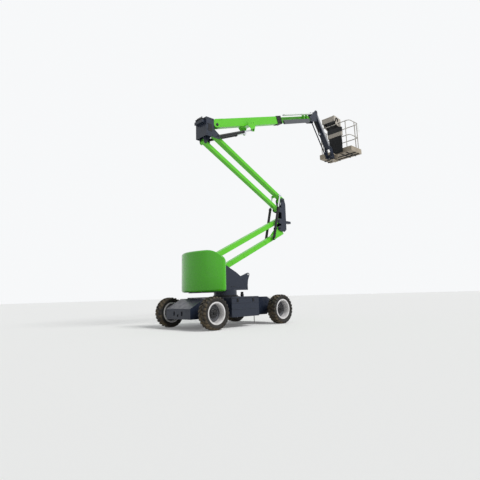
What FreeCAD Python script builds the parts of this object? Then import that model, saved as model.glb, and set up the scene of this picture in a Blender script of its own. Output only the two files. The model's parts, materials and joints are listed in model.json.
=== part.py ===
import FreeCAD, Part
import math
import os
import re
import Sketcher

# Articulating boom lift, X forward to the platform's end, Y to the left, Z up.
# The origin is on the ground under the slewing axis.

SIZES = (
    # columns: name, millimetres or degrees, what it measures
    ("wheelbase", 2540, "axle to axle"),
    ("track", 2000, "tyre centre to tyre centre"),
    ("fit_gap", 0.3, "faces of two pieces that seat on each other"),
    ("running_fit", 0.08, "between a shaft and the bore that turns on it"),
    ("pin_gap", 0.05, "radial running clearance of a pin"),
    ("tyre_diameter", 840, "over the lugs"),
    ("tyre_width", 300, "over the sidewalls"),
    ("tyre_seat_radius", 254, "bead seat"),
    ("rim_flange_radius", 286, "bright flange ring"),
    ("rim_half_width", 110, "bead to bead, half"),
    ("rim_flange", 12, "flange thickness"),
    ("rim_wall", 18, "barrel thickness"),
    ("dish_depth", 62, "from the wheel's middle to the disc, inboard"),
    ("hub_radius", 118, "wheel hub"),
    ("hub_depth", 96, "hub face, inboard of the flange"),
    ("spindle_radius", 45, "stub that carries a wheel"),
    ("frame_half_width", 550, "chassis box"),
    ("frame_end", 1680, "end plate from the middle"),
    ("frame_bottom", 270, "underside of the chassis"),
    ("frame_nose_top", 540, "top of the end plate"),
    ("frame_deck", 790, "deck of the chassis"),
    ("frame_deck_end", 1200, "where the deck starts to fall"),
    ("frame_plate", 14, "plate thickness"),
    ("notch_width", 60, "slots in the end plate"),
    ("notch_height", 110, "slots in the end plate"),
    ("notch_pitch", 355, "slot to slot"),
    ("notch_bottom", 360, "height of the slots"),
    ("nose_hole_radius", 35, "round hole between the slots"),
    ("nose_hole_height", 365, "round hole between the slots"),
    ("box_rear", -650, "battery box, rear face"),
    ("box_front", 380, "battery box, front face"),
    ("box_outer", 1000, "battery box, outer face"),
    ("box_bottom", 280, "battery box, underside"),
    ("box_top", 815, "battery box, top"),
    ("box_wall", 5, "battery box sheet"),
    ("rib_height", 30, "pressed rib on a battery box"),
    ("rib_depth", 8, "pressed rib stands out"),
    ("rib_low", 480, "lower rib"),
    ("rib_high", 640, "upper rib"),
    ("battery_margin", 60, "battery inside its box"),
    ("axle_depth", 150, "axle beam, fore and aft"),
    ("axle_height", 160, "axle beam, up and down"),
    ("axle_tube_radius", 80, "round ends of the drive axle"),
    ("gear_radius", 150, "wheel gearbox"),
    ("gear_inner", 830, "wheel gearbox, inner face"),
    ("gear_outer", 900, "wheel gearbox, outer face"),
    ("kingpin_place", 790, "steering axis from the middle"),
    ("kingpin_radius", 28, "steering pin"),
    ("fork_half_height", 130, "steering fork, half"),
    ("fork_plate", 30, "steering fork arms"),
    ("fork_radius", 60, "steering fork round the pin"),
    ("knuckle_half_height", 98, "steering knuckle, half"),
    ("steer_arm", 170, "steering arm"),
    ("steer_arm_half", 20, "steering arm, half width"),
    ("strap_place", 640, "ground strap"),
    ("strap_bottom", 60, "ground strap's lower end"),
    ("ring_radius", 370, "slew ring"),
    ("ring_height", 70, "fixed part of the slew ring"),
    ("ring_gap", 0.3, "gap in the slew ring"),
    ("ring_bore", 250, "hole in the slew ring"),
    ("table_bottom", 1000, "turntable plate, underside"),
    ("table_plate", 30, "turntable plate"),
    ("table_front", 372, "turntable plate, front"),
    ("table_rear", -1060, "turntable plate, rear"),
    ("carrier_bottom", 940, "carrier under the counterweight, underside"),
    ("carrier_inset", 200, "carrier inside the cover's round edge"),
    ("carrier_front", -700, "where the cheeks step down to the carrier"),
    ("cheek_half", 300, "outer face of a turret cheek"),
    ("cheek_plate", 20, "turret cheek thickness"),
    ("cheek_front", 650, "front edge of a cheek"),
    ("lug_x", 682, "lashing lug's hole"),
    ("lug_z", 1465, "lashing lug's hole"),
    ("lug_hole", 28, "lashing lug's hole"),
    ("lug_round", 48, "lashing lug round its hole"),
    ("brace_top", 1180, "plate across between the cheeks"),
    ("tail_radius", 1280, "tail cover round the slewing axis"),
    ("tail_front", -740, "tail cover, front face"),
    ("tail_bottom", 960, "tail cover, underside"),
    ("tail_top", 2090, "tail cover, top"),
    ("tail_brow", -1050, "where the top starts to fall"),
    ("tail_fall", 1800, "top at the front face"),
    ("tail_wall", 14, "cover thickness"),
    ("tail_round", 75, "edges of the cover"),
    ("recess_half", 340, "recess for the turret, half width"),
    ("recess_rear", -1100, "recess for the turret, rear"),
    ("weight_front", -865, "counterweight, front face"),
    ("weight_top", 1740, "counterweight, top"),
    ("controls_rear", -420, "ground control box"),
    ("controls_front", -120, "ground control box"),
    ("controls_depth", 150, "ground control box"),
    ("controls_low", 1150, "ground control box"),
    ("controls_high", 1560, "ground control box"),
    ("lower_angle", 25.5, "slope of the lower stage"),
    ("upper_angle", 28, "slope of the upper stage"),
    ("stage_length", 3643, "pin to pin of every tower arm"),
    ("tower_pin_x", -828, "lower arm's rear pin"),
    ("tower_pin_z", 1512, "lower arm's rear pin"),
    ("lower_link_dx", -40, "link's pins from the arm's"),
    ("lower_link_dz", 250, "link's pins from the arm's"),
    ("upper_link_dx", -10, "upper link's pin from the knee"),
    ("upper_link_dz", 660, "upper link's pin from the knee"),
    ("upper_arm_dx", 180, "upper arm's pin from the knee"),
    ("upper_arm_dz", 1000, "upper arm's pin from the knee"),
    ("lower_arm_drop", 185, "tube below its pin line"),
    ("lower_arm_width", 160, "lower arm tube"),
    ("lower_arm_height", 150, "lower arm tube"),
    ("lower_arm_end", 120, "tube beyond the front pin"),
    ("lower_link_width", 180, "lower link tube"),
    ("lower_link_height", 150, "lower link tube"),
    ("upper_link_width", 140, "upper link tube"),
    ("upper_link_height", 110, "upper link tube"),
    ("upper_link_rise", 25, "tube above its pin line"),
    ("upper_arm_width", 180, "upper arm tube"),
    ("upper_arm_height", 105, "upper arm tube"),
    ("upper_arm_rise", 88, "tube above its pin line"),
    ("upper_arm_end", 110, "tube beyond the knee's pin"),
    ("tube_wall", 8, "walls of the arms"),
    ("boss_radius", 56, "bosses of the tower pins"),
    ("pin_radius", 32, "tower pins"),
    ("knee_half", 115, "outer face of the knee plates"),
    ("knee_plate", 18, "knee plates"),
    ("knee_ear", 74, "round ears of the knee plates at their pins"),
    ("knee_web", 300, "web between the plates, in front of the lower pin"),
    ("web_plate", 22, "web"),
    ("stub_front", 660, "stub's front end from the lower pin"),
    ("stub_half", 60, "stub, half width"),
    ("stub_low", 220, "stub above the lower pin"),
    ("stub_high", 300, "stub above the lower pin"),
    ("cap_radius", 44, "pin caps"),
    ("cap_depth", 12, "pin caps"),
    ("head_half", 260, "outer face of the top knuckle"),
    ("head_plate", 14, "top knuckle plates"),
    ("head_rear", -85, "top knuckle's rear from the upper link's pin"),
    ("head_front", 215, "top knuckle's front from the upper link's pin"),
    ("head_low", 140, "top knuckle's lower edge"),
    ("head_high", 740, "top knuckle's top"),
    ("head_front_low", 512, "front plate's lower edge, over the upper arm"),
    ("lug_half", 110, "outer face of the arm lugs"),
    ("lug_plate", 16, "arm lugs"),
    ("nose_half", 80, "tongue that carries the boom"),
    ("boom_pivot_dx", 467, "boom pin from the upper link's pin"),
    ("boom_pivot_dz", 680, "boom pin from the upper link's pin"),
    ("boom_angle", 18.2, "slope of the boom"),
    ("boom_width", 200, "main boom"),
    ("boom_height", 275, "main boom"),
    ("boom_rise", 45, "tube's middle above the pin line"),
    ("boom_wall", 8, "main boom"),
    ("boom_tail", 135, "behind its pin"),
    ("root_mouth", 110, "open root round the tongue, from the pin"),
    ("root_plate", 12, "doubling plates at the root"),
    ("boom_length", 3240, "pin to mouth"),
    ("boom_pin_radius", 35, "boom pin"),
    ("collar_length", 240, "black collar at the mouth"),
    ("collar_wall", 14, "black collar"),
    ("collar_face", 60, "front frame of the collar"),
    ("fly_width", 150, "fly boom"),
    ("fly_height", 200, "fly boom"),
    ("fly_wall", 7, "fly boom"),
    ("fly_rear", 2150, "fly boom's rear end from the pin"),
    ("fly_front", 5200, "fly boom's front end from the pin"),
    ("pad_length", 120, "slide pads"),
    ("tray_rear", 3390, "hose cover beside the fly boom"),
    ("tray_front", 5250, "hose cover beside the fly boom"),
    ("tray_inner", 150, "hose cover from the middle, near face"),
    ("tray_outer", 250, "hose cover from the middle, far face"),
    ("tray_low", 172, "hose cover above the pin line"),
    ("tray_height", 38, "hose cover"),
    ("trough_rear", 3330, "hose trough"),
    ("trough_front", 5000, "hose trough"),
    ("trough_low", -150, "hose trough from the pin line"),
    ("trough_high", 0, "hose trough from the pin line"),
    ("trough_outer", 205, "hose trough from the middle, far face"),
    ("trough_wall", 5, "hose trough's sheet"),
    ("bracket_pitch", 220, "between the two hose brackets"),
    ("boom_ear_along", 1480, "lift pin along the boom"),
    ("boom_ear_drop", 285, "lift pin below the boom's middle"),
    ("boom_ear_half", 232, "outer face of the lift ears"),
    ("boom_ear_plate", 14, "lift ears"),
    ("boom_ram_side", 180, "boom ram from the middle"),
    ("boom_ram_dx", -80, "boom ram's pin from the boom pin"),
    ("boom_ram_dz", -450, "boom ram's pin from the boom pin"),
    ("boom_ram_barrel", 1270, "boom ram's barrel from its pin"),
    ("tower_ram_side", 185, "tower ram from the middle"),
    ("tower_ram_dx", -410, "tower ram's pin from the knee"),
    ("tower_ram_dz", -405, "tower ram's pin from the knee"),
    ("tower_eye_dx", -185, "rod's eye from the upper arm's pin"),
    ("tower_eye_dz", 155, "rod's eye from the upper arm's pin"),
    ("tower_ram_barrel", 1160, "tower ram's barrel from its pin"),
    ("ram_radius", 45, "ram barrels"),
    ("ram_bore", 36, "ram barrels, inside"),
    ("bore_start", 90, "bore from the barrel's pin"),
    ("ram_gland", 60, "glands and pistons"),
    ("rod_radius", 24, "ram rods"),
    ("eye_radius", 48, "ram eyes"),
    ("eye_half", 22, "ram eyes, half thickness"),
    ("ram_pin_radius", 22, "ram pins"),
    ("jib_pivot_along", 5228, "jib base's pin along the boom"),
    ("jib_arm_dx", 393, "jib arm's pin from the base's pin"),
    ("jib_arm_dz", 417, "jib arm's pin from the base's pin"),
    ("jib_link_dx", 433, "jib link's pin from the base's pin"),
    ("jib_link_dz", 87, "jib link's pin from the base's pin"),
    ("jib_length", 1600, "pin to pin"),
    ("jib_angle", -57.5, "slope of the jib"),
    ("jib_width", 220, "jib arm"),
    ("jib_height", 130, "jib arm"),
    ("jib_wall", 6, "jib arm"),
    ("jib_plate", 15, "plates at the jib's ends"),
    ("jib_plate_half", 140, "outer face of those plates"),
    ("jib_boss_radius", 46, "jib pins' bosses"),
    ("jib_pin_radius", 25, "jib pins"),
    ("jib_ram_pin", 22, "jib ram's pin in the base"),
    ("base_tie_x", 82, "plate between the base's sides, from its pin"),
    ("link_thick", 22, "jib links, sideways"),
    ("link_height", 50, "jib links"),
    ("jib_ram_dx", -20, "jib ram's pin from the jib arm's"),
    ("jib_ram_dz", -260, "jib ram's pin from the jib arm's"),
    ("jib_eye_along", 900, "jib ram's eye along the arm"),
    ("jib_eye_drop", 150, "jib ram's eye below the arm's middle"),
    ("jib_ear_half", 60, "outer face of the jib ram's ears"),
    ("jib_ear_plate", 12, "jib ram's ears"),
    ("jib_ram_radius", 35, "jib ram's barrel"),
    ("jib_ram_bore", 28, "jib ram's barrel, inside"),
    ("jib_rod_radius", 18, "jib ram's rod"),
    ("jib_ram_barrel", 615, "jib ram's barrel from its pin"),
    ("jib_bore_start", 40, "jib ram's bore from its pin"),
    ("jib_gland", 40, "jib ram's gland and piston"),
    ("jib_piston", 85, "jib ram's piston from the barrel's pin"),
    ("jib_rod_eye", 34, "jib rod's eye"),
    ("jib_eye_half", 28, "jib ram's eyes, half thickness"),
    ("rotator_dx", 270, "rotator's axis from the jib's end pin"),
    ("rotator_dz", -430, "housing's underside from the jib's end pin"),
    ("rotator_radius", 95, "rotator housing"),
    ("rotator_height", 220, "rotator housing"),
    ("rotator_shaft", 48, "shaft that the platform's arms turn on"),
    ("rotator_arm", 30, "thickness of the arms over and under the housing"),
    ("arm_half", 90, "arms over and under the housing, half width"),
    ("rotator_gap", 5, "between the housing and the arms"),
    ("deck_clearance", 5, "between the upper arm and the platform's floor"),
    ("deck_setback", 260, "floor's rear edge from the rotator's axis"),
    ("deck_length", 800, "floor, fore and aft"),
    ("deck_half", 800, "platform floor, half its width"),
    ("deck_plate", 14, "platform floor"),
    ("toe_height", 210, "toe board"),
    ("toe_plate", 6, "toe board"),
    ("rail_height", 1405, "top of the top rail over the floor's underside"),
    ("middle_height", 745, "middle rail's axis over the floor's underside"),
    ("foot_radius", 23, "feet of the posts"),
    ("foot_height", 12, "feet of the posts"),
    ("rail_radius", 18, "rail tube"),
    ("rail_bend", 140, "bends of the rails"),
    ("post_side", 590, "end posts from the middle"),
    ("post_middle", 690, "right side's middle post from the rotator's axis"),
    ("gate_margin", 12, "entry posts from the bends"),
    ("gate_radius", 14, "entry bar"),
    ("sleeve_height", 70, "entry bar's sleeves"),
    ("sleeve_wall", 6, "entry bar's sleeves"),
    ("console_setback", 90, "console's rear face behind the floor's"),
    ("console_depth", 500, "console, fore and aft"),
    ("console_left", 480, "console's left side from the middle"),
    ("console_right", -120, "console's right side from the middle"),
    ("console_low", 125, "console's underside over the rail"),
    ("console_height", 360, "console's top over the rail"),
    ("console_lip", 300, "console's front edge over the rail"),
    ("console_fall", 125, "console's underside falls below the rail at its front"),
    ("console_saddle", 98, "where the side plates stand on the rail"),
    ("cheek_sheet", 14, "console's side plates"),
    ("panel_left", 260, "panels under the console"),
    ("panel_right", -440, "panels under the console"),
    ("panel_depth", 90, "panels under the console"),
    ("shroud_bottom", 945, "dark box, underside over the floor"),
    ("pale_bottom", 770, "pale panel, underside over the floor"),
    ("bag_bottom", 20, "tool bag, underside over the floor's"),
    ("bag_round", 28, "tool bag's edges"),
)

document = FreeCAD.newDocument("BoomLift")
sheet = document.addObject("Spreadsheet::Sheet", "Sizes")
for row, (name, amount, meaning) in enumerate(SIZES, start=1):
    sheet.set("A%d" % row, name)
    sheet.set("B%d" % row, str(amount))
    sheet.setAlias("B%d" % row, name)
    sheet.set("C%d" % row, meaning)
document.recompute()
NAMES = {name for name, amount, meaning in SIZES}


def formula(text):
    """An expression in which each named size points at its cell."""
    return re.sub(r"[a-z_]+", lambda word: "Sizes." + word[0] if word[0] in NAMES else word[0], str(text))


def value(text):
    """The number that a formula of named sizes gives now."""
    return float(sheet.evalExpression(formula(text)))


def minus(text):
    return "-(%s)" % text


def vector(x, y, z):
    return FreeCAD.Vector(value(x), value(y), value(z))


def tilted(x, z, angle):
    """A placement in the boom's plane, with the local X raised by the angle."""
    turn = FreeCAD.Rotation(FreeCAD.Vector(0, -1, 0), angle)
    return FreeCAD.Placement(FreeCAD.Vector(x, 0, z), turn)


def plane_of(body, role):
    return [item for item in body.Origin.OriginFeatures if item.Role == role][0]


def new_sketch(body, role, shift=0):
    """A sketch on one of the body's own planes, moved along the plane's normal."""
    sketch = body.newObject("Sketcher::SketchObject", body.Name + "_sketch")
    sketch.AttachmentSupport = [(plane_of(body, role), "")]
    sketch.MapMode = "FlatFace"
    sketch.setExpression("AttachmentOffset.Base.z", formula(shift))
    return sketch


def tie_point(sketch, curve, end, x, y):
    """Holds one point of a curve at the place that two formulas give."""
    for kind, text in (("DistanceX", x), ("DistanceY", y)):
        number = sketch.addConstraint(Sketcher.Constraint(kind, -1, 1, curve, end, value(text)))
        sketch.setExpression("Constraints[%d]" % number, formula(text))


def draw_outline(sketch, corners):
    """A closed outline whose corners are held by their formulas."""
    first = sketch.GeometryCount
    count = len(corners)
    for place in range(count):
        start = corners[place]
        stop = corners[(place + 1) % count]
        sketch.addGeometry(Part.LineSegment(vector(start[0], start[1], 0), vector(stop[0], stop[1], 0)))
    for place in range(count):
        after = first + (place + 1) % count
        sketch.addConstraint(Sketcher.Constraint("Coincident", first + place, 2, after, 1))
    for place, (x, y) in enumerate(corners):
        tie_point(sketch, first + place, 1, x, y)


def draw_circle(sketch, x, y, radius):
    circle = Part.Circle(vector(x, y, 0), FreeCAD.Vector(0, 0, 1), value(radius))
    curve = sketch.addGeometry(circle)
    tie_point(sketch, curve, 3, x, y)
    number = sketch.addConstraint(Sketcher.Constraint("Radius", curve, value(radius)))
    sketch.setExpression("Constraints[%d]" % number, formula(radius))


def rectangle(x_low, x_high, y_low, y_high):
    return ((x_low, y_low), (x_high, y_low), (x_high, y_high), (x_low, y_high))


def pad(body, sketch, length, middle=False, back=False):
    feature = body.newObject("PartDesign::Pad", body.Name + "_pad")
    feature.Profile = sketch
    feature.setExpression("Length", formula(length))
    feature.Midplane = middle
    feature.Reversed = back
    return feature


def profile(name, plane, outlines, length, circles=(), shift=0, middle=True, back=False):
    """A body padded from closed outlines and round holes on one plane."""
    body = document.addObject("PartDesign::Body", name)
    sketch = new_sketch(body, plane, shift)
    for corners in outlines:
        draw_outline(sketch, corners)
    for x, y, radius in circles:
        draw_circle(sketch, x, y, radius)
    pad(body, sketch, length, middle, back)
    return body


def plate_pair(name, corners, outer, thickness, holes=()):
    """Two like plates, one each side of the middle plane, with their outer faces at `outer`."""
    inner = "%s - %s" % (outer, thickness)
    body = profile(name, "XZ_Plane", (corners,), thickness, holes, inner, middle=False)
    mirror = body.newObject("PartDesign::Mirrored", name + "_mirror")
    mirror.Originals = [body.Tip]
    mirror.MirrorPlane = (plane_of(body, "XZ_Plane"), [""])
    body.Tip = mirror
    return body


def revolved(name, corners):
    """A body turned round the Y axis from an outline of (y, radius) corners."""
    body = document.addObject("PartDesign::Body", name)
    sketch = new_sketch(body, "YZ_Plane")
    draw_outline(sketch, corners)
    turn = body.newObject("PartDesign::Revolution", name + "_turn")
    turn.Profile = sketch
    turn.ReferenceAxis = (sketch, ["H_Axis"])
    turn.Angle = 360
    return body


def block(name, x_low, x_high, y_low, y_high, z_low, z_high):
    box = document.addObject("Part::Box", name)
    box.setExpression("Length", formula("(%s) - (%s)" % (x_high, x_low)))
    box.setExpression("Width", formula("(%s) - (%s)" % (y_high, y_low)))
    box.setExpression("Height", formula("(%s) - (%s)" % (z_high, z_low)))
    for axis, low in (("x", x_low), ("y", y_low), ("z", z_low)):
        box.setExpression("Placement.Base." + axis, formula(low))
    return box


AXIS_TURNS = {
    "x": FreeCAD.Rotation(FreeCAD.Vector(0, 1, 0), 90),
    "y": FreeCAD.Rotation(FreeCAD.Vector(1, 0, 0), -90),
    "z": FreeCAD.Rotation(),
}


def round_bar(name, axis, radius, start, length, x=0, y=0, z=0):
    """A cylinder that starts at `start` on its axis; x, y, z give the other two coordinates."""
    bar = document.addObject("Part::Cylinder", name)
    bar.Placement = FreeCAD.Placement(FreeCAD.Vector(), AXIS_TURNS[axis])
    bar.setExpression("Radius", formula(radius))
    bar.setExpression("Height", formula(length))
    place = {"x": x, "y": y, "z": z}
    place[axis] = start
    for letter, text in place.items():
        bar.setExpression("Placement.Base." + letter, formula(text))
    return bar


def cross_bar(name, radius, half, x, z):
    """A round bar across the boom's plane, as long on one side as on the other."""
    return round_bar(name, "y", radius, minus(half), "2 * (%s)" % half, x=x, z=z)


def fuse(name, pieces):
    union = document.addObject("Part::MultiFuse", name)
    union.Shapes = pieces
    return union


def cut(name, base, tools):
    tool = tools[0] if len(tools) == 1 else fuse(name + "_tools", tools)
    rest = document.addObject("Part::Cut", name)
    rest.Base = base
    rest.Tool = tool
    return rest


nodes = []


def keep(thing, label, placement=None):
    """Names a finished piece and puts its own frame where it belongs."""
    document.recompute()
    thing.Label = label
    if placement is not None:
        thing.Placement = placement
    nodes.append(thing)
    return thing


def rectangular_tube(name, start, end, width, height, wall, rise=0):
    """A hollow tube along X, its middle raised by `rise` above the X axis."""
    half = "(%s) / 2" % width
    top = "(%s) / 2 + (%s)" % (height, rise)
    low = "(%s) - (%s) / 2" % (rise, height)
    outer = rectangle(minus(half), half, low, top)
    inner = rectangle("(%s) - (%s)" % (wall, half), "(%s) - (%s)" % (half, wall),
                      "(%s) + (%s)" % (low, wall), "(%s) - (%s)" % (top, wall))
    return profile(name, "YZ_Plane", (outer, inner), "(%s) - (%s)" % (end, start), shift=start, middle=False)


# Wheels

def tyre(name):
    half = "tyre_width / 2"
    tread = "tyre_diameter / 2"
    seat = "tyre_seat_radius + fit_gap"
    side = (
        # columns: distance from the wheel's middle, radius
        ("rim_half_width - fit_gap", seat),
        ("rim_half_width - fit_gap", "rim_flange_radius + 2"),
        (half + " - 8", "rim_flange_radius + 25"),
        (half, "rim_flange_radius + 60"),
        (half, tread + " - 38"),
        (half + " - 14", tread + " - 10"),
        (half + " - 45", tread),
    )
    corners = list(side) + [(minus(place), radius) for place, radius in reversed(side)]
    return revolved(name, corners)


def rim(name):
    inner = "tyre_seat_radius - rim_wall"
    edge = "rim_half_width + rim_flange"
    face = "rim_half_width + rim_flange - hub_depth"
    corners = (
        ("rim_half_width", "tyre_seat_radius"),
        ("rim_half_width", "rim_flange_radius"),
        (edge, "rim_flange_radius"),
        (edge, "tyre_seat_radius - 4"),
        ("rim_half_width - 40", inner),
        ("-dish_depth + 12", inner),
        ("-dish_depth + 30", "hub_radius + 40"),
        ("-dish_depth + 30", "hub_radius"),
        (face + " - 20", "hub_radius"),
        (face, "hub_radius - 22"),
        (face, "0"),
        (face + " - 60", "0"),
        (face + " - 60", "spindle_radius + pin_gap"),
        ("-dish_depth - 20", "spindle_radius + pin_gap"),
        ("-dish_depth - 20", "hub_radius + 25"),
        ("-dish_depth", inner),
        ("40 - rim_half_width", inner),
        (minus(edge), "tyre_seat_radius - 4"),
        (minus(edge), "rim_flange_radius"),
        ("-rim_half_width", "rim_flange_radius"),
        ("-rim_half_width", "tyre_seat_radius"),
    )
    return revolved(name, corners)


axle_height = value("tyre_diameter / 2")
for end, along in (("front", 1), ("rear", -1)):
    for side, across in (("left", 1), ("right", -1)):
        turn = FreeCAD.Rotation(FreeCAD.Vector(0, 0, 1), 0 if across > 0 else 180)
        where = FreeCAD.Vector(along * value("wheelbase / 2"), across * value("track / 2"), axle_height)
        label = "%s_%s" % (end, side)
        keep(tyre("tyre_" + label), "tyre_" + label, FreeCAD.Placement(where, turn))
        keep(rim("rim_" + label), "rim_" + label, FreeCAD.Placement(where, turn))


# Chassis

def chassis_frame():
    """A folded and welded box, sloped down to an end plate at each end, open underneath."""
    outside = (
        ("-frame_end", "frame_bottom"), ("-frame_end", "frame_nose_top"),
        ("-frame_deck_end", "frame_deck"), ("frame_deck_end", "frame_deck"),
        ("frame_end", "frame_nose_top"), ("frame_end", "frame_bottom"),
    )
    inside = (
        ("frame_plate - frame_end", "frame_bottom - frame_plate"),
        ("frame_plate - frame_end", "frame_nose_top - frame_plate"),
        ("-frame_deck_end", "frame_deck - frame_plate * 1.3"),
        ("frame_deck_end", "frame_deck - frame_plate * 1.3"),
        ("frame_end - frame_plate", "frame_nose_top - frame_plate"),
        ("frame_end - frame_plate", "frame_bottom - frame_plate"),
    )
    shell = profile("frame_outside", "XZ_Plane", (outside,), "2 * frame_half_width")
    hollow = profile("frame_inside", "XZ_Plane", (inside,), "2 * (frame_half_width - frame_plate)")
    tools = [hollow]
    for side in (-1, 1):
        start = "%d * frame_end - 2 * frame_plate" % side
        for number in (-1, 1):
            middle = "%d * notch_pitch / 2" % number
            tools.append(block("notch", start, start + " + 4 * frame_plate", middle + " - notch_width / 2",
                               middle + " + notch_width / 2", "notch_bottom", "notch_bottom + notch_height"))
        tools.append(round_bar("nose_hole", "x", "nose_hole_radius", start, "4 * frame_plate",
                               z="nose_hole_height"))
    for side in (-1, 1):
        beam = "%d * wheelbase / 2" % side
        reach = "axle_tube_radius" if side > 0 else "axle_depth / 2"
        tools.append(block("axle_way", beam + " - " + reach + " - fit_gap", beam + " + " + reach + " + fit_gap",
                           "-frame_half_width - 5", "frame_half_width + 5",
                           "frame_bottom - 5", "tyre_diameter / 2 + axle_height / 2 + fit_gap"))
    tools.append(round_bar("deck_hole", "z", "ring_bore", "frame_deck - 60", "120"))
    floor = []
    for side in (-1, 1):
        rib = "%d * frame_deck_end / 2" % side
        floor.append(block("cross_member", rib + " - 8", rib + " + 8", "frame_plate - frame_half_width",
                           "frame_half_width - frame_plate", "frame_bottom", "frame_deck - frame_plate * 1.3"))
    return fuse("chassis_frame_solid", [cut("frame_shell", shell, tools)] + floor)


keep(chassis_frame(), "chassis_frame")


def battery_box(name, side):
    """A sheet box with two pressed ribs along its outer face."""
    low, high = sorted(("%d * (frame_half_width + fit_gap)" % side, "%d * box_outer" % side), key=value)
    shell = block(name + "_skin", "box_rear", "box_front", low, high, "box_bottom", "box_top")
    room = block(name + "_room", "box_rear + box_wall", "box_front - box_wall", low + " + box_wall",
                 high + " - box_wall", "box_bottom + box_wall", "box_top - box_wall")
    ribs = []
    for height in ("rib_low", "rib_high"):
        start, stop = sorted(("%d * (box_outer - 1)" % side, "%d * (box_outer + rib_depth)" % side), key=value)
        ribs.append(block(name + "_rib", "box_rear + 10", "box_front - 10", start, stop,
                          height, height + " + rib_height"))
    return cut(name + "_solid", fuse(name + "_form", [shell] + ribs), [room])


def battery(name, side):
    near, far = sorted(("%d * (frame_half_width + battery_margin)" % side,
                        "%d * (box_outer - battery_margin)" % side), key=value)
    return block(name, "box_rear + battery_margin", "box_front - battery_margin", near, far,
                 "box_bottom + box_wall + fit_gap", "box_top - 2 * battery_margin")


keep(fuse("both_boxes", [battery_box("box_left", 1), battery_box("box_right", -1)]), "battery_boxes")
keep(fuse("both_batteries", [battery("battery_left", 1), battery("battery_right", -1)]), "batteries")


def drive_axle():
    middle = "wheelbase / 2"
    height = "tyre_diameter / 2"
    beam = block("drive_beam", middle + " - axle_depth / 2", middle + " + axle_depth / 2", "-gear_inner + 60",
                 "gear_inner - 60", height + " - axle_height / 2", height + " + axle_height / 2")
    tube = cross_bar("drive_tube", "axle_tube_radius", "gear_inner", middle, height)
    bowl = cross_bar("drive_bowl", "gear_radius", "170", middle, height)
    ends = []
    for sign in (-1, 1):
        low, high = sorted(("%d * gear_inner" % sign, "%d * gear_outer" % sign), key=value)
        ends.append(round_bar("gearbox", "y", "gear_radius", low, "gear_outer - gear_inner", x=middle,
                              z=height))
    spindle = cross_bar("drive_spindle", "spindle_radius", "track / 2 - 50", middle, height)
    return fuse("drive_axle_solid", [beam, tube, bowl, spindle] + ends)


def steer_axle():
    """A beam with a fork at each end for the steering pin."""
    middle = "-wheelbase / 2"
    height = "tyre_diameter / 2"
    inner = "kingpin_place - fork_radius - 30"
    pieces = [block("steer_beam", middle + " - axle_depth / 2", middle + " + axle_depth / 2", minus(inner),
                    inner,
                    height + " - axle_height / 2", height + " + axle_height / 2")]
    for sign in (-1, 1):
        low, high = sorted(("%d * (kingpin_place - fork_radius - 60)" % sign,
                            "%d * (kingpin_place - fork_radius - 10)" % sign), key=value)
        pieces.append(block("fork_back", middle + " - fork_radius", middle + " + fork_radius", low, high,
                            height + " - fork_half_height", height + " + fork_half_height"))
        near, far = sorted(("%d * (kingpin_place - fork_radius - 30)" % sign, "%d * kingpin_place" % sign),
                           key=value)
        for level in (-1, 1):
            start = height + " + %d * fork_half_height - fork_plate * %s" % (level, "1" if level > 0 else "0")
            pieces.append(block("fork_arm", middle + " - fork_radius", middle + " + fork_radius", near, far,
                                start, start + " + fork_plate"))
            pieces.append(round_bar("fork_eye", "z", "fork_radius", start, "fork_plate", x=middle,
                                    y="%d * kingpin_place" % sign))
        pieces.append(round_bar("kingpin", "z", "kingpin_radius", height + " - fork_half_height",
                                "2 * fork_half_height", x=middle, y="%d * kingpin_place" % sign))
    return fuse("steer_axle_solid", pieces)


keep(drive_axle(), "drive_axle")
keep(steer_axle(), "steer_axle")


def steer_knuckle(name, sign):
    """The upright that turns on the steering pin and carries a wheel's spindle."""
    middle = "-wheelbase / 2"
    height = "tyre_diameter / 2"
    pin_place = "%d * kingpin_place" % sign
    body = round_bar(name + "_body", "z", "fork_radius", height + " - knuckle_half_height",
                     "2 * knuckle_half_height", x=middle, y=pin_place)
    near, far = sorted((pin_place, "%d * (gear_outer - 10)" % sign), key=value)
    web = block(name + "_web", middle + " - fork_radius", middle + " + fork_radius", near, far,
                height + " - knuckle_half_height", height + " + knuckle_half_height")
    start, stop = sorted(("%d * (kingpin_place + 20)" % sign, "%d * (track / 2 - 50)" % sign), key=value)
    spindle = round_bar(name + "_spindle", "y", "spindle_radius", start, "(%s) - (%s)" % (stop, start),
                        x=middle, z=height)
    flange_start = sorted(("%d * gear_outer" % sign, "%d * (gear_outer - 30)" % sign), key=value)[0]
    flange = round_bar(name + "_flange", "y", "gear_radius - 50", flange_start, "30", x=middle, z=height)
    arm = block(name + "_arm", middle, middle + " + steer_arm", pin_place + " - steer_arm_half",
                pin_place + " + steer_arm_half",
                height + " - knuckle_half_height", height + " - knuckle_half_height + 30")
    bore = round_bar(name + "_bore", "z", "kingpin_radius + pin_gap", height + " - fork_half_height",
                     "2 * fork_half_height", x=middle, y=pin_place)
    return cut(name + "_solid", fuse(name + "_form", [body, web, spindle, flange, arm]), [bore])


for side, sign in (("left", 1), ("right", -1)):
    keep(steer_knuckle("steer_knuckle_" + side, sign), "steer_knuckle_" + side)


def slew_ring():
    ring = round_bar("ring_disc", "z", "ring_radius", "frame_deck", "ring_height")
    hole = round_bar("ring_hole", "z", "ring_bore", "frame_deck - 10", "ring_height + 20")
    return cut("slew_ring_solid", ring, [hole])


keep(slew_ring(), "slew_ring")
strap_side = "frame_plate + fit_gap - frame_half_width"
keep(block("strap", "strap_place - 12", "strap_place + 12", strap_side, strap_side + " + 6", "strap_bottom",
           "frame_bottom + 40"), "ground_strap")


# Turntable

link_x = value("tower_pin_x + lower_link_dx")
link_z = value("tower_pin_z + lower_link_dz")


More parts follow.
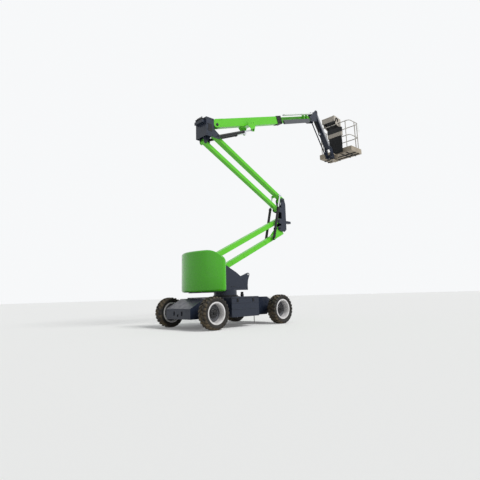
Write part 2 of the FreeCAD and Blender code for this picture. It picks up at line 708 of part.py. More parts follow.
def turntable_frame():
    """The turning plate with two tall cheeks, each with a lug for lashing at its front."""
    cheek = (
        # columns: x, z
        ("table_rear", "carrier_bottom"), ("table_rear", "1760"), ("-960", "1880"), ("-760", "1890"),
        ("-140", "1690"), ("-60", "1640"), ("175", "1525"), ("lug_x - 322", "lug_z - 58"),
        ("lug_x - 35", "lug_z + lug_round"), ("lug_x + 12", "lug_z + lug_round"),
        ("lug_x + lug_round", "lug_z + 12"), ("lug_x + lug_round - 6", "lug_z - 38"),
        ("cheek_front + 15", "lug_z - 170"), ("cheek_front - 6", "table_bottom + 140"),
        ("cheek_front", "table_bottom"), ("carrier_front + 60", "table_bottom"),
        ("carrier_front", "carrier_bottom"),
    )
    holes = (("lug_x", "lug_z", "lug_hole"), ("tower_pin_x", "tower_pin_z", "pin_radius"),
             (str(link_x), str(link_z), "pin_radius"))
    cheeks = plate_pair("cheeks", cheek, "cheek_half", "cheek_plate", holes)
    plate = block("table", "table_rear", "table_front", "-cheek_half", "cheek_half", "table_bottom",
                  "table_bottom + table_plate")
    disc_low = "frame_deck + ring_height + ring_gap"
    disc = round_bar("table_disc", "z", "ring_radius - 30", disc_low,
                     "table_bottom + table_plate - (%s)" % disc_low)
    brace = block("cheek_brace", "0", "cheek_plate", "-cheek_half + 2", "cheek_half - 2", "table_bottom + 5",
                  "brace_top")
    carrier = cut("tail_carrier", round_bar("carrier_disc", "z", "tail_radius - carrier_inset",
                                            "carrier_bottom",
                                            "tail_bottom - fit_gap - carrier_bottom"),
                  [block("carrier_front", "tail_front - cheek_plate", "tail_radius", "-tail_radius",
                         "tail_radius",
                         "carrier_bottom - 5", "tail_bottom + 5")])
    hub = round_bar("rotary_joint", "z", "ring_bore / 2", "frame_deck - ring_bore / 2",
                    "ring_bore / 2 + ring_height + 10")
    pieces = [cheeks, plate, disc, brace, carrier, hub]
    for x, z in (("tower_pin_x", "tower_pin_z"), (link_x, link_z)):
        pieces.append(cross_bar("tower_pin", "pin_radius", "cheek_half + cap_depth", x, z))
    return fuse("turntable_solid", pieces)


keep(turntable_frame(), "turntable_frame")


def tail_form(name, inset, bottom):
    """The tail's plan, padded up and cut by its falling top; `inset` moves every wall inwards."""
    body = document.addObject("PartDesign::Body", name)
    sketch = new_sketch(body, "XY_Plane", bottom)
    radius = value("tail_radius - (%s)" % inset)
    front = value("tail_front - (%s)" % inset)
    corner = math.sqrt(radius ** 2 - front ** 2)
    arc = Part.Arc(FreeCAD.Vector(front, corner, 0), FreeCAD.Vector(-radius, 0, 0),
                   FreeCAD.Vector(front, -corner, 0))
    sketch.addGeometry(arc)
    sketch.addGeometry(Part.LineSegment(FreeCAD.Vector(front, -corner, 0), FreeCAD.Vector(front, corner, 0)))
    sketch.addConstraint(Sketcher.Constraint("Coincident", 0, 3, -1, 1))
    for line_end, arc_point in ((1, (front, -corner)), (2, (front, corner))):
        near = min((1, 2), key=lambda end: (sketch.getPoint(0, end) - FreeCAD.Vector(*arc_point, 0)).Length)
        sketch.addConstraint(Sketcher.Constraint("Coincident", 1, line_end, 0, near))
    sketch.addConstraint(Sketcher.Constraint("Vertical", 1))
    number = sketch.addConstraint(Sketcher.Constraint("Radius", 0, radius))
    sketch.setExpression("Constraints[%d]" % number, formula("tail_radius - (%s)" % inset))
    number = sketch.addConstraint(Sketcher.Constraint("DistanceX", -1, 1, 1, 1, front))
    sketch.setExpression("Constraints[%d]" % number, formula("tail_front - (%s)" % inset))
    pad(body, sketch, "tail_top - (%s) - (%s)" % (inset, bottom))
    slope = new_sketch(body, "XZ_Plane")
    draw_outline(slope, (("tail_brow", "tail_top - (%s)" % inset),
                         ("tail_front + 100", "tail_top - (%s)" % inset),
                         ("tail_front + 100", "tail_fall - (%s)" % inset),
                         ("tail_front", "tail_fall - (%s)" % inset)))
    pocket = body.newObject("PartDesign::Pocket", name + "_slope")
    pocket.Profile = slope
    pocket.setExpression("Length", formula("3 * tail_radius"))
    pocket.Midplane = True
    document.recompute()
    return body


def round_edges(body, radius, wanted):
    """Rounds the edges of the body's last feature that `wanted` picks."""
    document.recompute()
    base = body.Tip
    names = ["Edge%d" % (number + 1) for number, edge in enumerate(base.Shape.Edges) if wanted(edge)]
    fillet = body.newObject("PartDesign::Fillet", body.Name + "_round")
    fillet.Base = (base, names)
    fillet.setExpression("Radius", formula(radius))
    document.recompute()
    return body


def tail_cover():
    """A moulded cover round the counterweight, with a recess for the turret's cheeks."""
    outer = tail_form("tail_outside", "0", "tail_bottom")
    above = value("tail_bottom") + 1
    round_edges(outer, "tail_round", lambda edge: edge.BoundBox.ZMax > above)
    inner = tail_form("tail_inside", "tail_wall", "tail_bottom - 50")
    round_edges(inner, "tail_round - tail_wall", lambda edge: edge.BoundBox.ZMax > above)
    recess = block("tail_recess", "recess_rear", "tail_front + 10", "-recess_half", "recess_half",
                   "tail_bottom - 60", "tail_top + 10")
    room = block("tail_recess_wall", "recess_rear - tail_wall", "tail_front + 10", "-recess_half - tail_wall",
                 "recess_half + tail_wall", "tail_bottom - 70", "tail_top + 20")
    return cut("tail_cover_solid", outer, [cut("tail_room", inner, [room]), recess])


keep(tail_cover(), "tail_cover")


def counterweight():
    """Cast block behind the turret, round at the back like the cover."""
    disc = round_bar("weight_disc", "z", "tail_radius - tail_wall - fit_gap", "tail_bottom + fit_gap",
                     "weight_top - tail_bottom")
    front = block("weight_cut", "weight_front", "2 * tail_radius", "-2 * tail_radius", "2 * tail_radius",
                  "tail_bottom - 10", "weight_top + 10")
    recess = block("weight_recess", "recess_rear - 2 * tail_wall", "weight_front + 10",
                   "-recess_half - 2 * tail_wall",
                   "recess_half + 2 * tail_wall", "tail_bottom - 10", "weight_top + 10")
    return cut("counterweight_solid", disc, [front, recess])


keep(counterweight(), "counterweight")


def ground_controls():
    return block("controls_box", "controls_rear", "controls_front", "cheek_half + fit_gap",
                 "cheek_half + controls_depth", "controls_low", "controls_high")


keep(ground_controls(), "ground_controls")


# Tower

def tower_arm(name, width, height, rise, boss_half, ends, extra=()):
    """A tube along X with a bored boss at each end; the rear pin is at the origin."""
    start, stop = ends
    tube = rectangular_tube(name + "_tube", start, stop, width, height, "tube_wall", rise)
    solids = [tube]
    bores = []
    for place, half in (("0", boss_half[0]), ("stage_length", boss_half[1])):
        solids.append(cross_bar(name + "_boss", "boss_radius", half, place, "0"))
        bores.append(cross_bar(name + "_bore", "pin_radius + pin_gap", half + " + 20", place, "0"))
    solids.extend(extra)
    return cut(name + "_solid", fuse(name + "_form", solids), bores)


cheek_inside = "cheek_half - cheek_plate - fit_gap"
knee_inside = "knee_half - knee_plate - fit_gap"
head_inside = "lug_half - lug_plate - fit_gap"


def lower_arm():
    """The lower arm hangs below its pins, on a gusset at each end."""
    half = "(lower_arm_width / 2)"
    deep = "lower_arm_drop - lower_arm_height / 2"
    front = (("stage_length - 420", minus(deep) + " - 4"), ("stage_length + 60", minus(deep) + " - 4"),
             ("stage_length + 60", "0"), ("stage_length + 20", "boss_radius - 4"), ("stage_length - 50", "30"))
    rear = (("380", minus(deep) + " - 4"), ("-60", minus(deep) + " - 4"), ("-60", "0"),
            ("-20", "boss_radius - 4"),
            ("50", "30"))
    gussets = [plate_pair("lower_arm_front", front, half, "12"), plate_pair("lower_arm_rear", rear, half, "12")]
    eye = cross_bar("tower_ram_pin", "ram_pin_radius", "tower_ram_side + eye_half + 16", ram_along, ram_rise)
    boss = cross_bar("tower_ram_boss", "ram_pin_radius + 24", "tower_ram_side - ram_radius - 6", ram_along,
                     ram_rise)
    return tower_arm("lower_arm", "lower_arm_width", "lower_arm_height", "-lower_arm_drop",
                     (cheek_inside, knee_inside), ("-60", "stage_length + lower_arm_end"),
                     gussets + [eye, boss])


def turned(x, z, angle):
    """A point of the boom's plane in a frame raised by the angle."""
    cosine = math.cos(math.radians(angle))
    sine = math.sin(math.radians(angle))
    return x * cosine + z * sine, z * cosine - x * sine


lower_slope = value("lower_angle")
ram_along, ram_rise = turned(value("tower_ram_dx"), value("tower_ram_dz"), lower_slope)
ram_along += value("stage_length")
lower_place = tilted(value("tower_pin_x"), value("tower_pin_z"), lower_slope)
knee_x, knee_z = value("tower_pin_x"), value("tower_pin_z")
knee_x += value("stage_length") * math.cos(math.radians(lower_slope))
knee_z += value("stage_length") * math.sin(math.radians(lower_slope))
keep(lower_arm(), "lower_arm", lower_place)
keep(tower_arm("lower_link", "lower_link_width", "lower_link_height", "0", (cheek_inside, knee_inside),
               ("-90", "stage_length + 70")), "lower_link", tilted(link_x, link_z, lower_slope))


def outer_cap(name, face, x, z, sign):
    """A round pin cap on the outer face of a plate."""
    low = sorted(("%d * (%s - 1)" % (sign, face), "%d * (%s + cap_depth)" % (sign, face)), key=value)[0]
    return round_bar(name, "y", "cap_radius", low, "cap_depth + 1", x=x, z=z)


def mid_knuckle():
    """Two knee plates joined by a web, with the pins of all four tower arms."""
    corners = [("60", "-95"), ("250", "-110"), ("345", "-20"), ("350", "880"), ("285", "1085"), ("150", "1095"),
               ("95", "1010"), ("115", "900"), ("135", "745")]
    for x, z, inner in (("upper_link_dx", "upper_link_dz", "125"), ("lower_link_dx", "lower_link_dz", "90"),
                        ("0", "0", None)):
        corners.append((x + " - 15", z + " + knee_ear"))
        corners.append((x + " - knee_ear", z + " + 32"))
        corners.append((x + " - knee_ear", z + " - 32"))
        corners.append((x + " - 15", z + " - knee_ear"))
        if inner:
            corners.append((inner, z + " - 100"))
        if inner == "125":
            corners.append((inner, "lower_link_dz + 100"))
        if inner == "90":
            corners.append((inner, "105"))
    plates = plate_pair("knee_plates", corners, "knee_half", "knee_plate")
    web = block("knee_web", "knee_web", "knee_web + web_plate", minus("knee_half - 4"), "knee_half - 4", "-60",
                "880")
    stub = block("knee_stub", "knee_web + web_plate - 2", "stub_front", "-stub_half", "stub_half", "stub_low",
                 "stub_high")
    pieces = [plates, web, stub]
    for x, z in (("0", "0"), ("lower_link_dx", "lower_link_dz"), ("upper_link_dx", "upper_link_dz"),
                 ("upper_arm_dx", "upper_arm_dz")):
        pieces.append(cross_bar("knee_pin", "pin_radius", "knee_half + cap_depth", x, z))
        pieces.extend(outer_cap("knee_cap", "knee_half", x, z, sign) for sign in (-1, 1))
    return fuse("mid_knuckle_solid", pieces)


keep(mid_knuckle(), "mid_knuckle", FreeCAD.Placement(FreeCAD.Vector(knee_x, 0, knee_z), FreeCAD.Rotation()))


upper_slope = 180 - value("upper_angle")
link_knee_x = knee_x + value("upper_link_dx")
link_knee_z = knee_z + value("upper_link_dz")
arm_knee_x = knee_x + value("upper_arm_dx")
arm_knee_z = knee_z + value("upper_arm_dz")
keep(tower_arm("upper_link", "upper_link_width", "upper_link_height", "-upper_link_rise",
               (knee_inside, head_inside),
               ("-60", "stage_length + 60")), "upper_link", tilted(link_knee_x, link_knee_z, upper_slope))


eye_along, eye_rise = turned(value("tower_eye_dx"), value("tower_eye_dz"), upper_slope)


def upper_arm():
    """The upper arm runs a little above its pins and has a boss for the tower ram's eye."""
    boss = cross_bar("tower_eye_boss", "ram_pin_radius + 20", "tower_ram_side - rod_radius - 3",
                     eye_along, eye_rise)
    return tower_arm("upper_arm", "upper_arm_width", "upper_arm_height", "-upper_arm_rise",
                     (knee_inside, head_inside), ("-upper_arm_end", "stage_length + 60"), [boss])


keep(upper_arm(), "upper_arm", tilted(arm_knee_x, arm_knee_z, upper_slope))


def ram_barrel(name, length, radius, bore, eye, pin, sides, eye_wide, first="bore_start", gland="ram_gland"):
    """Barrels along X from their pin at the origin, one at each of `sides`."""
    solids = []
    holes = []
    for place in sides:
        solids.append(round_bar(name + "_tube", "x", radius, "20", "(%s) - 20" % length, y=place))
        solids.append(round_bar(name + "_gland", "x", "(%s) + 5" % radius, "(%s) - %s" % (length, gland), gland,
                                y=place))
        solids.append(round_bar(name + "_eye", "y", eye, "(%s) - (%s)" % (place, eye_wide),
                                "2 * (%s)" % eye_wide))
        holes.append(round_bar(name + "_bore", "x", bore, first, length, y=place))
        holes.append(round_bar(name + "_hole", "y", pin + " + pin_gap", "(%s) - 100" % place, "200"))
    return cut(name + "_solid", fuse(name + "_form", solids), holes)


def ram_rod(name, start, length, radius, bore, eye, sides, eye_wide, pin, reach, piston="ram_gland"):
    """Rods with a piston at their rear end and an eye at the front; its pin reaches out to the ear."""
    solids = []
    for place in sides:
        solids.append(round_bar(name + "_bar", "x", radius, start, "(%s) - (%s)" % (length, start), y=place))
        solids.append(round_bar(name + "_piston", "x", "(%s) - pin_gap" % bore, start, piston, y=place))
        solids.append(round_bar(name + "_eye", "y", eye, "(%s) - (%s)" % (place, eye_wide),
                                "2 * (%s)" % eye_wide, x=length))
        low, high = sorted((value(place) - math.copysign(value(eye_wide) - 1, value(place)),
                            value(place) + math.copysign(value(reach), value(place))))
        if value(place) == 0:
            low = -high
        solids.append(round_bar(name + "_pin", "y", pin, low, high - low, x=length))
    return fuse(name + "_solid", solids)


def span(start, stop):
    """Length and slope from one point of the boom's plane to another."""
    dx = stop[0] - start[0]
    dz = stop[1] - start[1]
    return math.hypot(dx, dz), math.degrees(math.atan2(dz, dx))


tower_ram = (knee_x + value("tower_ram_dx"), knee_z + value("tower_ram_dz"))
tower_eye = (arm_knee_x + value("tower_eye_dx"), arm_knee_z + value("tower_eye_dz"))
tower_ram_length, tower_ram_slope = span(tower_ram, tower_eye)
tower_sides = ("tower_ram_side", "-tower_ram_side")
tower_ram_place = tilted(tower_ram[0], tower_ram[1], tower_ram_slope)
keep(ram_barrel("tower_barrels", "tower_ram_barrel", "ram_radius", "ram_bore", "eye_radius", "ram_pin_radius",
                tower_sides, "eye_half"), "tower_ram_barrels", tower_ram_place)
keep(ram_rod("tower_rods", "tower_ram_barrel - 420", str(tower_ram_length), "rod_radius", "ram_bore",
             "eye_radius",
             tower_sides, "eye_half", "ram_pin_radius", "eye_half + cap_depth"), "tower_ram_rods",
             tower_ram_place)


# Top knuckle and booms

cosine = math.cos(math.radians(value("upper_angle")))
sine = math.sin(math.radians(value("upper_angle")))
head_x = link_knee_x - value("stage_length") * cosine
head_z = link_knee_z + value("stage_length") * sine
boom_x = head_x + value("boom_pivot_dx")
boom_z = head_z + value("boom_pivot_dz")


def top_knuckle():
    """A box of plate over the upper arms, with lugs for their pins, the boom and its rams."""
    across = value("upper_arm_dx - upper_link_dx")
    up = value("upper_arm_dz - upper_link_dz")
    side = (
        ("head_rear", "head_low"), ("head_rear", "head_high"), ("head_front", "head_high"),
        ("head_front", "420"),
        ("470", "250"), ("455", "150"), ("380", "head_low - 10"), ("head_front", "head_low"),
    )
    inner = "head_half - 2"
    cheeks = plate_pair("head_cheeks", side, "head_half", "head_plate",
                        (("boom_pivot_dx + boom_ram_dx", "boom_pivot_dz + boom_ram_dz", "ram_pin_radius"),))
    rear = block("head_rear_plate", "head_rear", "head_rear + head_plate", minus(inner), inner, "head_low",
                 "head_high")
    front = block("head_front_plate", "head_front - head_plate", "head_front", minus(inner), inner,
                  "head_front_low",
                  "head_high")
    top = block("head_top", "head_rear", "head_front", minus(inner), inner, "head_high - head_plate",
                "head_high")
    lug = (("-boss_radius", "-20"), ("-25", "-boss_radius"), ("25", "-boss_radius"),
           (str(across + 75), str(up - 60)),
           (str(across + 75), str(up + 80)), ("130", "head_high - 10"), ("head_rear + 10", "head_high - 10"),
           ("head_rear + 10", "head_low"))
    lugs = plate_pair("arm_lugs", lug, "lug_half", "lug_plate")
    tongue = (("head_front - 15", "520"), ("head_front - 15", "head_high - 5"),
              ("boom_pivot_dx", "boom_pivot_dz + 72"),
              ("boom_pivot_dx + 62", "boom_pivot_dz + 36"), ("boom_pivot_dx + 62", "boom_pivot_dz - 36"),
              ("boom_pivot_dx", "boom_pivot_dz - 72"))
    tongues = plate_pair("boom_tongue", tongue, "nose_half", "20")
    bar = block("rear_bar", "-195", "-80", "-190", "190", "560", "650")
    pieces = [cheeks, rear, front, top, lugs, tongues, bar]
    pieces.append(cross_bar("link_pin", "pin_radius", "lug_half + cap_depth", "0", "0"))
    pieces.append(cross_bar("arm_pin", "pin_radius", "lug_half + cap_depth", across, up))
    pieces.append(cross_bar("boom_pin", "boom_pin_radius", "boom_width / 2 + root_plate + cap_depth",
                            "boom_pivot_dx",
                            "boom_pivot_dz"))
    for sign in (-1, 1):
        low = sorted(("%d * (boom_ram_side - eye_half - 10)" % sign, "%d * (head_half + cap_depth)" % sign),
                     key=value)
        pieces.append(round_bar("ram_pin", "y", "ram_pin_radius", low[0], "(%s) - (%s)" % (low[1], low[0]),
                                x="boom_pivot_dx + boom_ram_dx", z="boom_pivot_dz + boom_ram_dz"))
    return fuse("top_knuckle_solid", pieces)


keep(top_knuckle(), "top_knuckle", FreeCAD.Placement(FreeCAD.Vector(head_x, 0, head_z), FreeCAD.Rotation()))


def main_boom():
    """The outer boom: open at its root for the tongue, with ears for the rams below."""
    tube = rectangular_tube("boom_tube", "0", "boom_length", "boom_width", "boom_height", "boom_wall",
                            "boom_rise")
    low = "boom_rise - boom_height / 2"
    high = "boom_rise + boom_height / 2"
    mouth = block("boom_root_cut", "-boom_tail - 5", "root_mouth", "boom_wall - boom_width / 2",
                  "boom_width / 2 - boom_wall", low + " - 5", high + " + 5")
    bore = cross_bar("boom_bore", "boom_pin_radius + pin_gap", "boom_width", "0", "0")
    root = (
        ("-boom_tail", "boom_rise - 55"), ("-boom_tail + 35", low + " + 20"), ("40 - boom_tail / 2", low),
        ("root_mouth + 190", low), ("root_mouth + 240", "boom_rise"), ("root_mouth + 190", high),
        ("40 - boom_tail / 2", high), ("-boom_tail + 30", high + " - 35"), ("-boom_tail", "boom_rise + 55"),
    )
    roots = plate_pair("boom_root", root, "boom_width / 2 + root_plate", "(root_plate + boom_wall)")
    ear = (
        ("boom_ear_along - 190", low + " - 4"), ("boom_ear_along - 70", "-boom_ear_drop"),
        ("boom_ear_along - 30", "-boom_ear_drop - 62"), ("boom_ear_along + 35", "-boom_ear_drop - 62"),
        ("boom_ear_along + 75", "-boom_ear_drop"), ("boom_ear_along + 200", low + " - 4"),
        ("boom_ear_along + 200", low + " + 90"), ("boom_ear_along - 190", low + " + 90"),
    )
    ears = plate_pair("boom_ears", ear, "boom_ear_half", "boom_ear_plate")
    caps = [outer_cap("boom_ear_cap", "boom_ear_half", "boom_ear_along", "-boom_ear_drop",
                      sign) for sign in (-1, 1)]
    saddle = block("boom_saddle", "boom_ear_along - 190", "boom_ear_along + 200", "-boom_ear_half + 2",
                   "boom_ear_half - 2", low + " - 16", low + " + 2")
    return cut("main_boom_solid", fuse("main_boom_form", [tube, roots, ears, saddle] + caps), [mouth, bore])


boom_slope = value("boom_angle")
boom_place = tilted(boom_x, boom_z, boom_slope)
keep(main_boom(), "main_boom", boom_place)


def framed(width, height, margin):
    """A rectangle round a tube of the boom, wider than it by a margin all round."""
    side = "(%s) / 2 + (%s)" % (width, margin)
    tall = "(%s) / 2 + (%s)" % (height, margin)
    return rectangle(minus(side), side, "boom_rise - (%s)" % tall, "boom_rise + (%s)" % tall)


def boom_collar():
    """Black collar round the mouth, with the pads that guide the fly boom."""
    outer = framed("boom_width", "boom_height", "collar_wall")
    sleeve = profile("collar_sleeve", "YZ_Plane", (outer, framed("boom_width", "boom_height", "fit_gap")),
                     "collar_length", shift="boom_length - collar_length + collar_face", middle=False)
    face = profile("collar_face", "YZ_Plane", (outer, framed("fly_width", "fly_height", "fit_gap")),
                   "collar_face - fit_gap", shift="boom_length + fit_gap", middle=False)
    return fuse("boom_collar_solid", [sleeve, face])


keep(boom_collar(), "boom_collar", boom_place)


def fly_boom():
    """The inner boom on its rear pads, with brackets for the hoses' cover and trough on the right."""
    tube = rectangular_tube("fly_tube", "fly_rear", "fly_front", "fly_width", "fly_height", "fly_wall",
                            "boom_rise")
    pads = profile("fly_pads", "YZ_Plane", (framed("boom_width", "boom_height", "-boom_wall - fit_gap"),
                                            framed("fly_width", "fly_height", "-1")),
                   "pad_length", shift="fly_rear", middle=False)
    head = cross_bar("fly_head", "jib_boss_radius", "jib_plate_half - jib_plate - fit_gap", "jib_pivot_along",
                     "0")
    brackets = []
    for place in ("trough_front - bracket_pitch", "trough_front"):
        brackets.append(block("hose_bracket", place + " - 50", place, "fit_gap - tray_inner",
                              "2 - fly_width / 2",
                              "trough_low + 30", "tray_low + tray_height"))
    bore = cross_bar("fly_bore", "jib_pin_radius + pin_gap", "jib_plate_half", "jib_pivot_along", "0")
    return cut("fly_boom_solid", fuse("fly_form", [tube, pads, head] + brackets), [bore])


def hose_tray():
    """The pale cover strip and the sheet trough that carry the hoses beside the fly boom."""
    lid = profile("hose_lid", "XZ_Plane", (rectangle("tray_rear", "tray_front", "tray_low",
                                                     "tray_low + tray_height"),),
                  "tray_outer - tray_inner", shift="tray_inner", middle=False)
    return lid


def hose_trough():
    channel = (("-tray_inner", "trough_low"), ("-tray_inner", "trough_high"),
               ("-tray_inner - trough_wall", "trough_high"),
               ("-tray_inner - trough_wall", "trough_low + trough_wall"),
               ("trough_wall - trough_outer", "trough_low + trough_wall"),
               ("trough_wall - trough_outer", "trough_high"),
               ("-trough_outer", "trough_high"), ("-trough_outer", "trough_low"))
    return profile("trough_channel", "YZ_Plane", (channel,), "trough_front - trough_rear", shift="trough_rear",
                   middle=False)


keep(fly_boom(), "fly_boom", boom_place)
keep(hose_tray(), "hose_tray", boom_place)
keep(hose_trough(), "hose_trough", boom_place)

boom_ram = (boom_x + value("boom_ram_dx"), boom_z + value("boom_ram_dz"))
ear_place = boom_place.multVec(vector("boom_ear_along", 0, "-boom_ear_drop"))
boom_ram_length, boom_ram_slope = span(boom_ram, (ear_place.x, ear_place.z))
boom_sides = ("boom_ram_side", "-boom_ram_side")
boom_ram_place = tilted(boom_ram[0], boom_ram[1], boom_ram_slope)
keep(ram_barrel("boom_barrels", "boom_ram_barrel", "ram_radius", "ram_bore", "eye_radius", "ram_pin_radius",
                boom_sides, "eye_half"), "boom_ram_barrels", boom_ram_place)
keep(ram_rod("boom_rods", "boom_ram_barrel - 440", str(boom_ram_length), "rod_radius", "ram_bore", "eye_radius",
             boom_sides, "eye_half", "ram_pin_radius",
             "boom_ear_half - boom_ear_plate - fit_gap - boom_ram_side"), "boom_ram_rods", boom_ram_place)


# Jib

base_pin = boom_place.multVec(vector("jib_pivot_along", 0, 0))


def link_stubs(name, x, z):
    """Pins that stand out from the plates on both sides, for the twin links."""
    stubs = []
    for sign in (-1, 1):
        low = sorted(("%d * (jib_plate_half - 2)" % sign, "%d * (jib_plate_half + link_thick + 12)" % sign),
                     key=value)[0]
        stubs.append(round_bar(name, "y", "jib_pin_radius", low, "link_thick + 14", x=x, z=z))
    return stubs


def jib_base():
    """Plates that stay level on the fly boom's tip and carry the jib's two pins."""
    corners = (
        # columns: x, z from the base's own pin
        ("-75", "-40"), ("-35", "-82"), ("60", "-92"), ("jib_link_dx - 90", "jib_link_dz - 95"),
        ("jib_link_dx + 20", "jib_link_dz - 68"), ("jib_link_dx + 68", "jib_link_dz - 20"),
        ("jib_link_dx + 62", "jib_link_dz + 50"), ("jib_arm_dx + 70", "jib_arm_dz - 130"),
        ("jib_arm_dx + 78", "jib_arm_dz + 10"), ("jib_arm_dx + 45", "jib_arm_dz + 66"),
        ("jib_arm_dx - 25", "jib_arm_dz + 78"), ("jib_arm_dx - 85", "jib_arm_dz + 40"), ("70", "190"),
        ("-60", "75"),
    )
    plates = plate_pair("base_plates", corners, "jib_plate_half", "jib_plate")
    inside = "jib_plate_half - 4"
    tie = block("base_tie", "base_tie_x", "base_tie_x + jib_plate", minus(inside), inside, "60", "190")
    pieces = [plates, tie, cross_bar("base_pin", "jib_pin_radius", "jib_plate_half", "0", "0"),
              cross_bar("arm_pin", "jib_pin_radius", "jib_plate_half + 8", "jib_arm_dx", "jib_arm_dz"),
              cross_bar("ram_pin", "jib_ram_pin", "jib_plate_half", "jib_arm_dx + jib_ram_dx",
                        "jib_arm_dz + jib_ram_dz")]
    pieces.extend(link_stubs("link_pin", "jib_link_dx", "jib_link_dz"))
    return fuse("jib_base_solid", pieces)


keep(jib_base(), "jib_base", FreeCAD.Placement(base_pin, FreeCAD.Rotation()))
jib_slope = value("jib_angle")
jib_place = tilted(base_pin.x + value("jib_arm_dx"), base_pin.z + value("jib_arm_dz"), jib_slope)
link_place = tilted(base_pin.x + value("jib_link_dx"), base_pin.z + value("jib_link_dz"), jib_slope)


def jib_arm():
    tube = rectangular_tube("jib_tube", "60", "jib_length - 60", "jib_width", "jib_height", "jib_wall")
    half = "jib_plate_half - jib_plate - fit_gap"
    ear = (("jib_eye_along - 110", "6 - jib_height / 2"), ("jib_eye_along - 35", "-jib_eye_drop - 35"),
           ("jib_eye_along + 35", "-jib_eye_drop - 35"), ("jib_eye_along + 110", "6 - jib_height / 2"))
    ears = plate_pair("jib_ears", ear, "jib_ear_half", "jib_ear_plate")
    solids = [tube, ears]
    bores = []
    for place in ("0", "jib_length"):
        solids.append(cross_bar("jib_boss", "jib_boss_radius", half, place, "0"))
        bores.append(cross_bar("jib_bore", "jib_pin_radius + pin_gap", "jib_plate_half", place, "0"))
    for start, stop in (("0", "70"), ("jib_length - 70", "jib_length")):
        solids.append(block("jib_neck", start, stop, "-jib_width / 2", "jib_width / 2", "-jib_boss_radius + 8",
                            "jib_boss_radius - 8"))
    return cut("jib_arm_solid", fuse("jib_form", solids), bores)


def jib_links():
    """Twin flat links outside the plates keep the platform level."""
    inner = "jib_plate_half + 5"
    outline = (("-20", "-link_height / 2"), ("jib_length + 20", "-link_height / 2"),
               ("jib_length + 20", "link_height / 2"), ("-20", "link_height / 2"))
    bars = plate_pair("link_bars", outline, inner + " + link_thick", "link_thick")
    solids = [bars]
    bores = []
    for place in ("0", "jib_length"):
        for sign in (-1, 1):
            low = sorted(("%d * (%s)" % (sign, inner), "%d * (%s + link_thick)" % (sign, inner)), key=value)[0]
            solids.append(round_bar("link_eye", "y", "link_height / 2 + 12", low, "link_thick", x=place))
        bores.append(cross_bar("link_bore", "jib_pin_radius + pin_gap", "2 * jib_plate_half", place, "0"))
    return cut("jib_links_solid", fuse("link_form", solids), bores)


keep(jib_arm(), "jib_arm", jib_place)
keep(jib_links(), "jib_links", link_place)

jib_ram = (base_pin.x + value("jib_arm_dx + jib_ram_dx"), base_pin.z + value("jib_arm_dz + jib_ram_dz"))
jib_eye = jib_place.multVec(vector("jib_eye_along", 0, "-jib_eye_drop"))
jib_ram_length, jib_ram_slope = span(jib_ram, (jib_eye.x, jib_eye.z))
jib_ram_place = tilted(jib_ram[0], jib_ram[1], jib_ram_slope)
keep(ram_barrel("jib_barrel", "jib_ram_barrel", "jib_ram_radius", "jib_ram_bore", "jib_ram_radius",
                "jib_ram_pin", ("0",), "jib_eye_half", "jib_bore_start", "jib_gland"), "jib_ram_barrel",
                jib_ram_place)
keep(ram_rod("jib_rod", "jib_piston", str(jib_ram_length), "jib_rod_radius", "jib_ram_bore", "jib_rod_eye",
             ("0",), "jib_eye_half", "jib_rod_radius", "jib_ear_half - jib_ear_plate - fit_gap", "jib_gland"),
     "jib_ram_rod", jib_ram_place)


arm_end = jib_place.multVec(vector("jib_length", 0, 0))
link_end = link_place.multVec(vector("jib_length", 0, 0)) - arm_end
bracket_place = FreeCAD.Placement(arm_end, FreeCAD.Rotation())


def platform_bracket():
    """Plates under the jib's end, with the rotator's housing in front of them."""
    low_x = str(link_end.x)
    low_z = str(link_end.z)
    top = "rotator_dz + rotator_height"
    corners = (
        # columns: x, z from the arm's end pin
        (low_x + " - 62", low_z + " + 10"), (low_x + " - 40", low_z + " - 55"),
        ("rotator_dx - 60", "rotator_dz + 10"),
        ("rotator_dx - 85", top + " - 10"), ("110", "20"), ("60", "62"), ("-20", "70"), ("-65", "20"),
    )
    plates = plate_pair("bracket_plates", corners, "jib_plate_half", "jib_plate")
    housing = round_bar("rotator_housing", "z", "rotator_radius", "rotator_dz", "rotator_height",
                        x="rotator_dx")
    tie = block("bracket_tie", "rotator_dx - 140", "rotator_dx - 40", "4 - jib_plate_half",
                "jib_plate_half - 4",
                "rotator_dz + 40", top + " - 40")
    ends = "rotator_gap + rotator_arm"
    shaft = round_bar("rotator_pin", "z", "rotator_shaft", "rotator_dz - (%s)" % ends,
                      "rotator_height + 2 * (%s)" % ends, x="rotator_dx")
    pieces = [plates, housing, tie, shaft]
    pieces.extend(link_stubs("low_pin", low_x, low_z))
    pieces.append(cross_bar("high_pin", "jib_pin_radius", "jib_plate_half + 8", "0", "0"))
    return fuse("platform_bracket_solid", pieces)


keep(platform_bracket(), "platform_bracket", bracket_place)


# Platform, in a frame on the rotator's axis at the height of the floor's underside

floor_rise = value("rotator_dz + rotator_height + rotator_gap + rotator_arm + deck_clearance")
platform_place = FreeCAD.Placement(arm_end + FreeCAD.Vector(value("rotator_dx"), 0, floor_rise),
                                   FreeCAD.Rotation())
deck_front = "deck_setback + deck_length"
housing_low = "-deck_clearance - rotator_arm - rotator_gap - rotator_height"

rail_inset = "toe_plate + fit_gap + rail_radius"
rail_rear = "deck_setback + " + rail_inset
rail_front = deck_front + " - (%s)" % rail_inset
rail_side = "deck_half - (%s)" % rail_inset
gate_rear = rail_rear + " + rail_bend + gate_margin"
gate_front = rail_front + " - rail_bend - gate_margin"
post_places = [(x, "%d * post_side" % sign) for x in (rail_rear, rail_front) for sign in (-1, 1)]
post_places += [(x, rail_side) for x in (gate_rear, gate_front)]
post_places += [(x, minus(rail_side)) for x in ("post_middle", gate_front)]


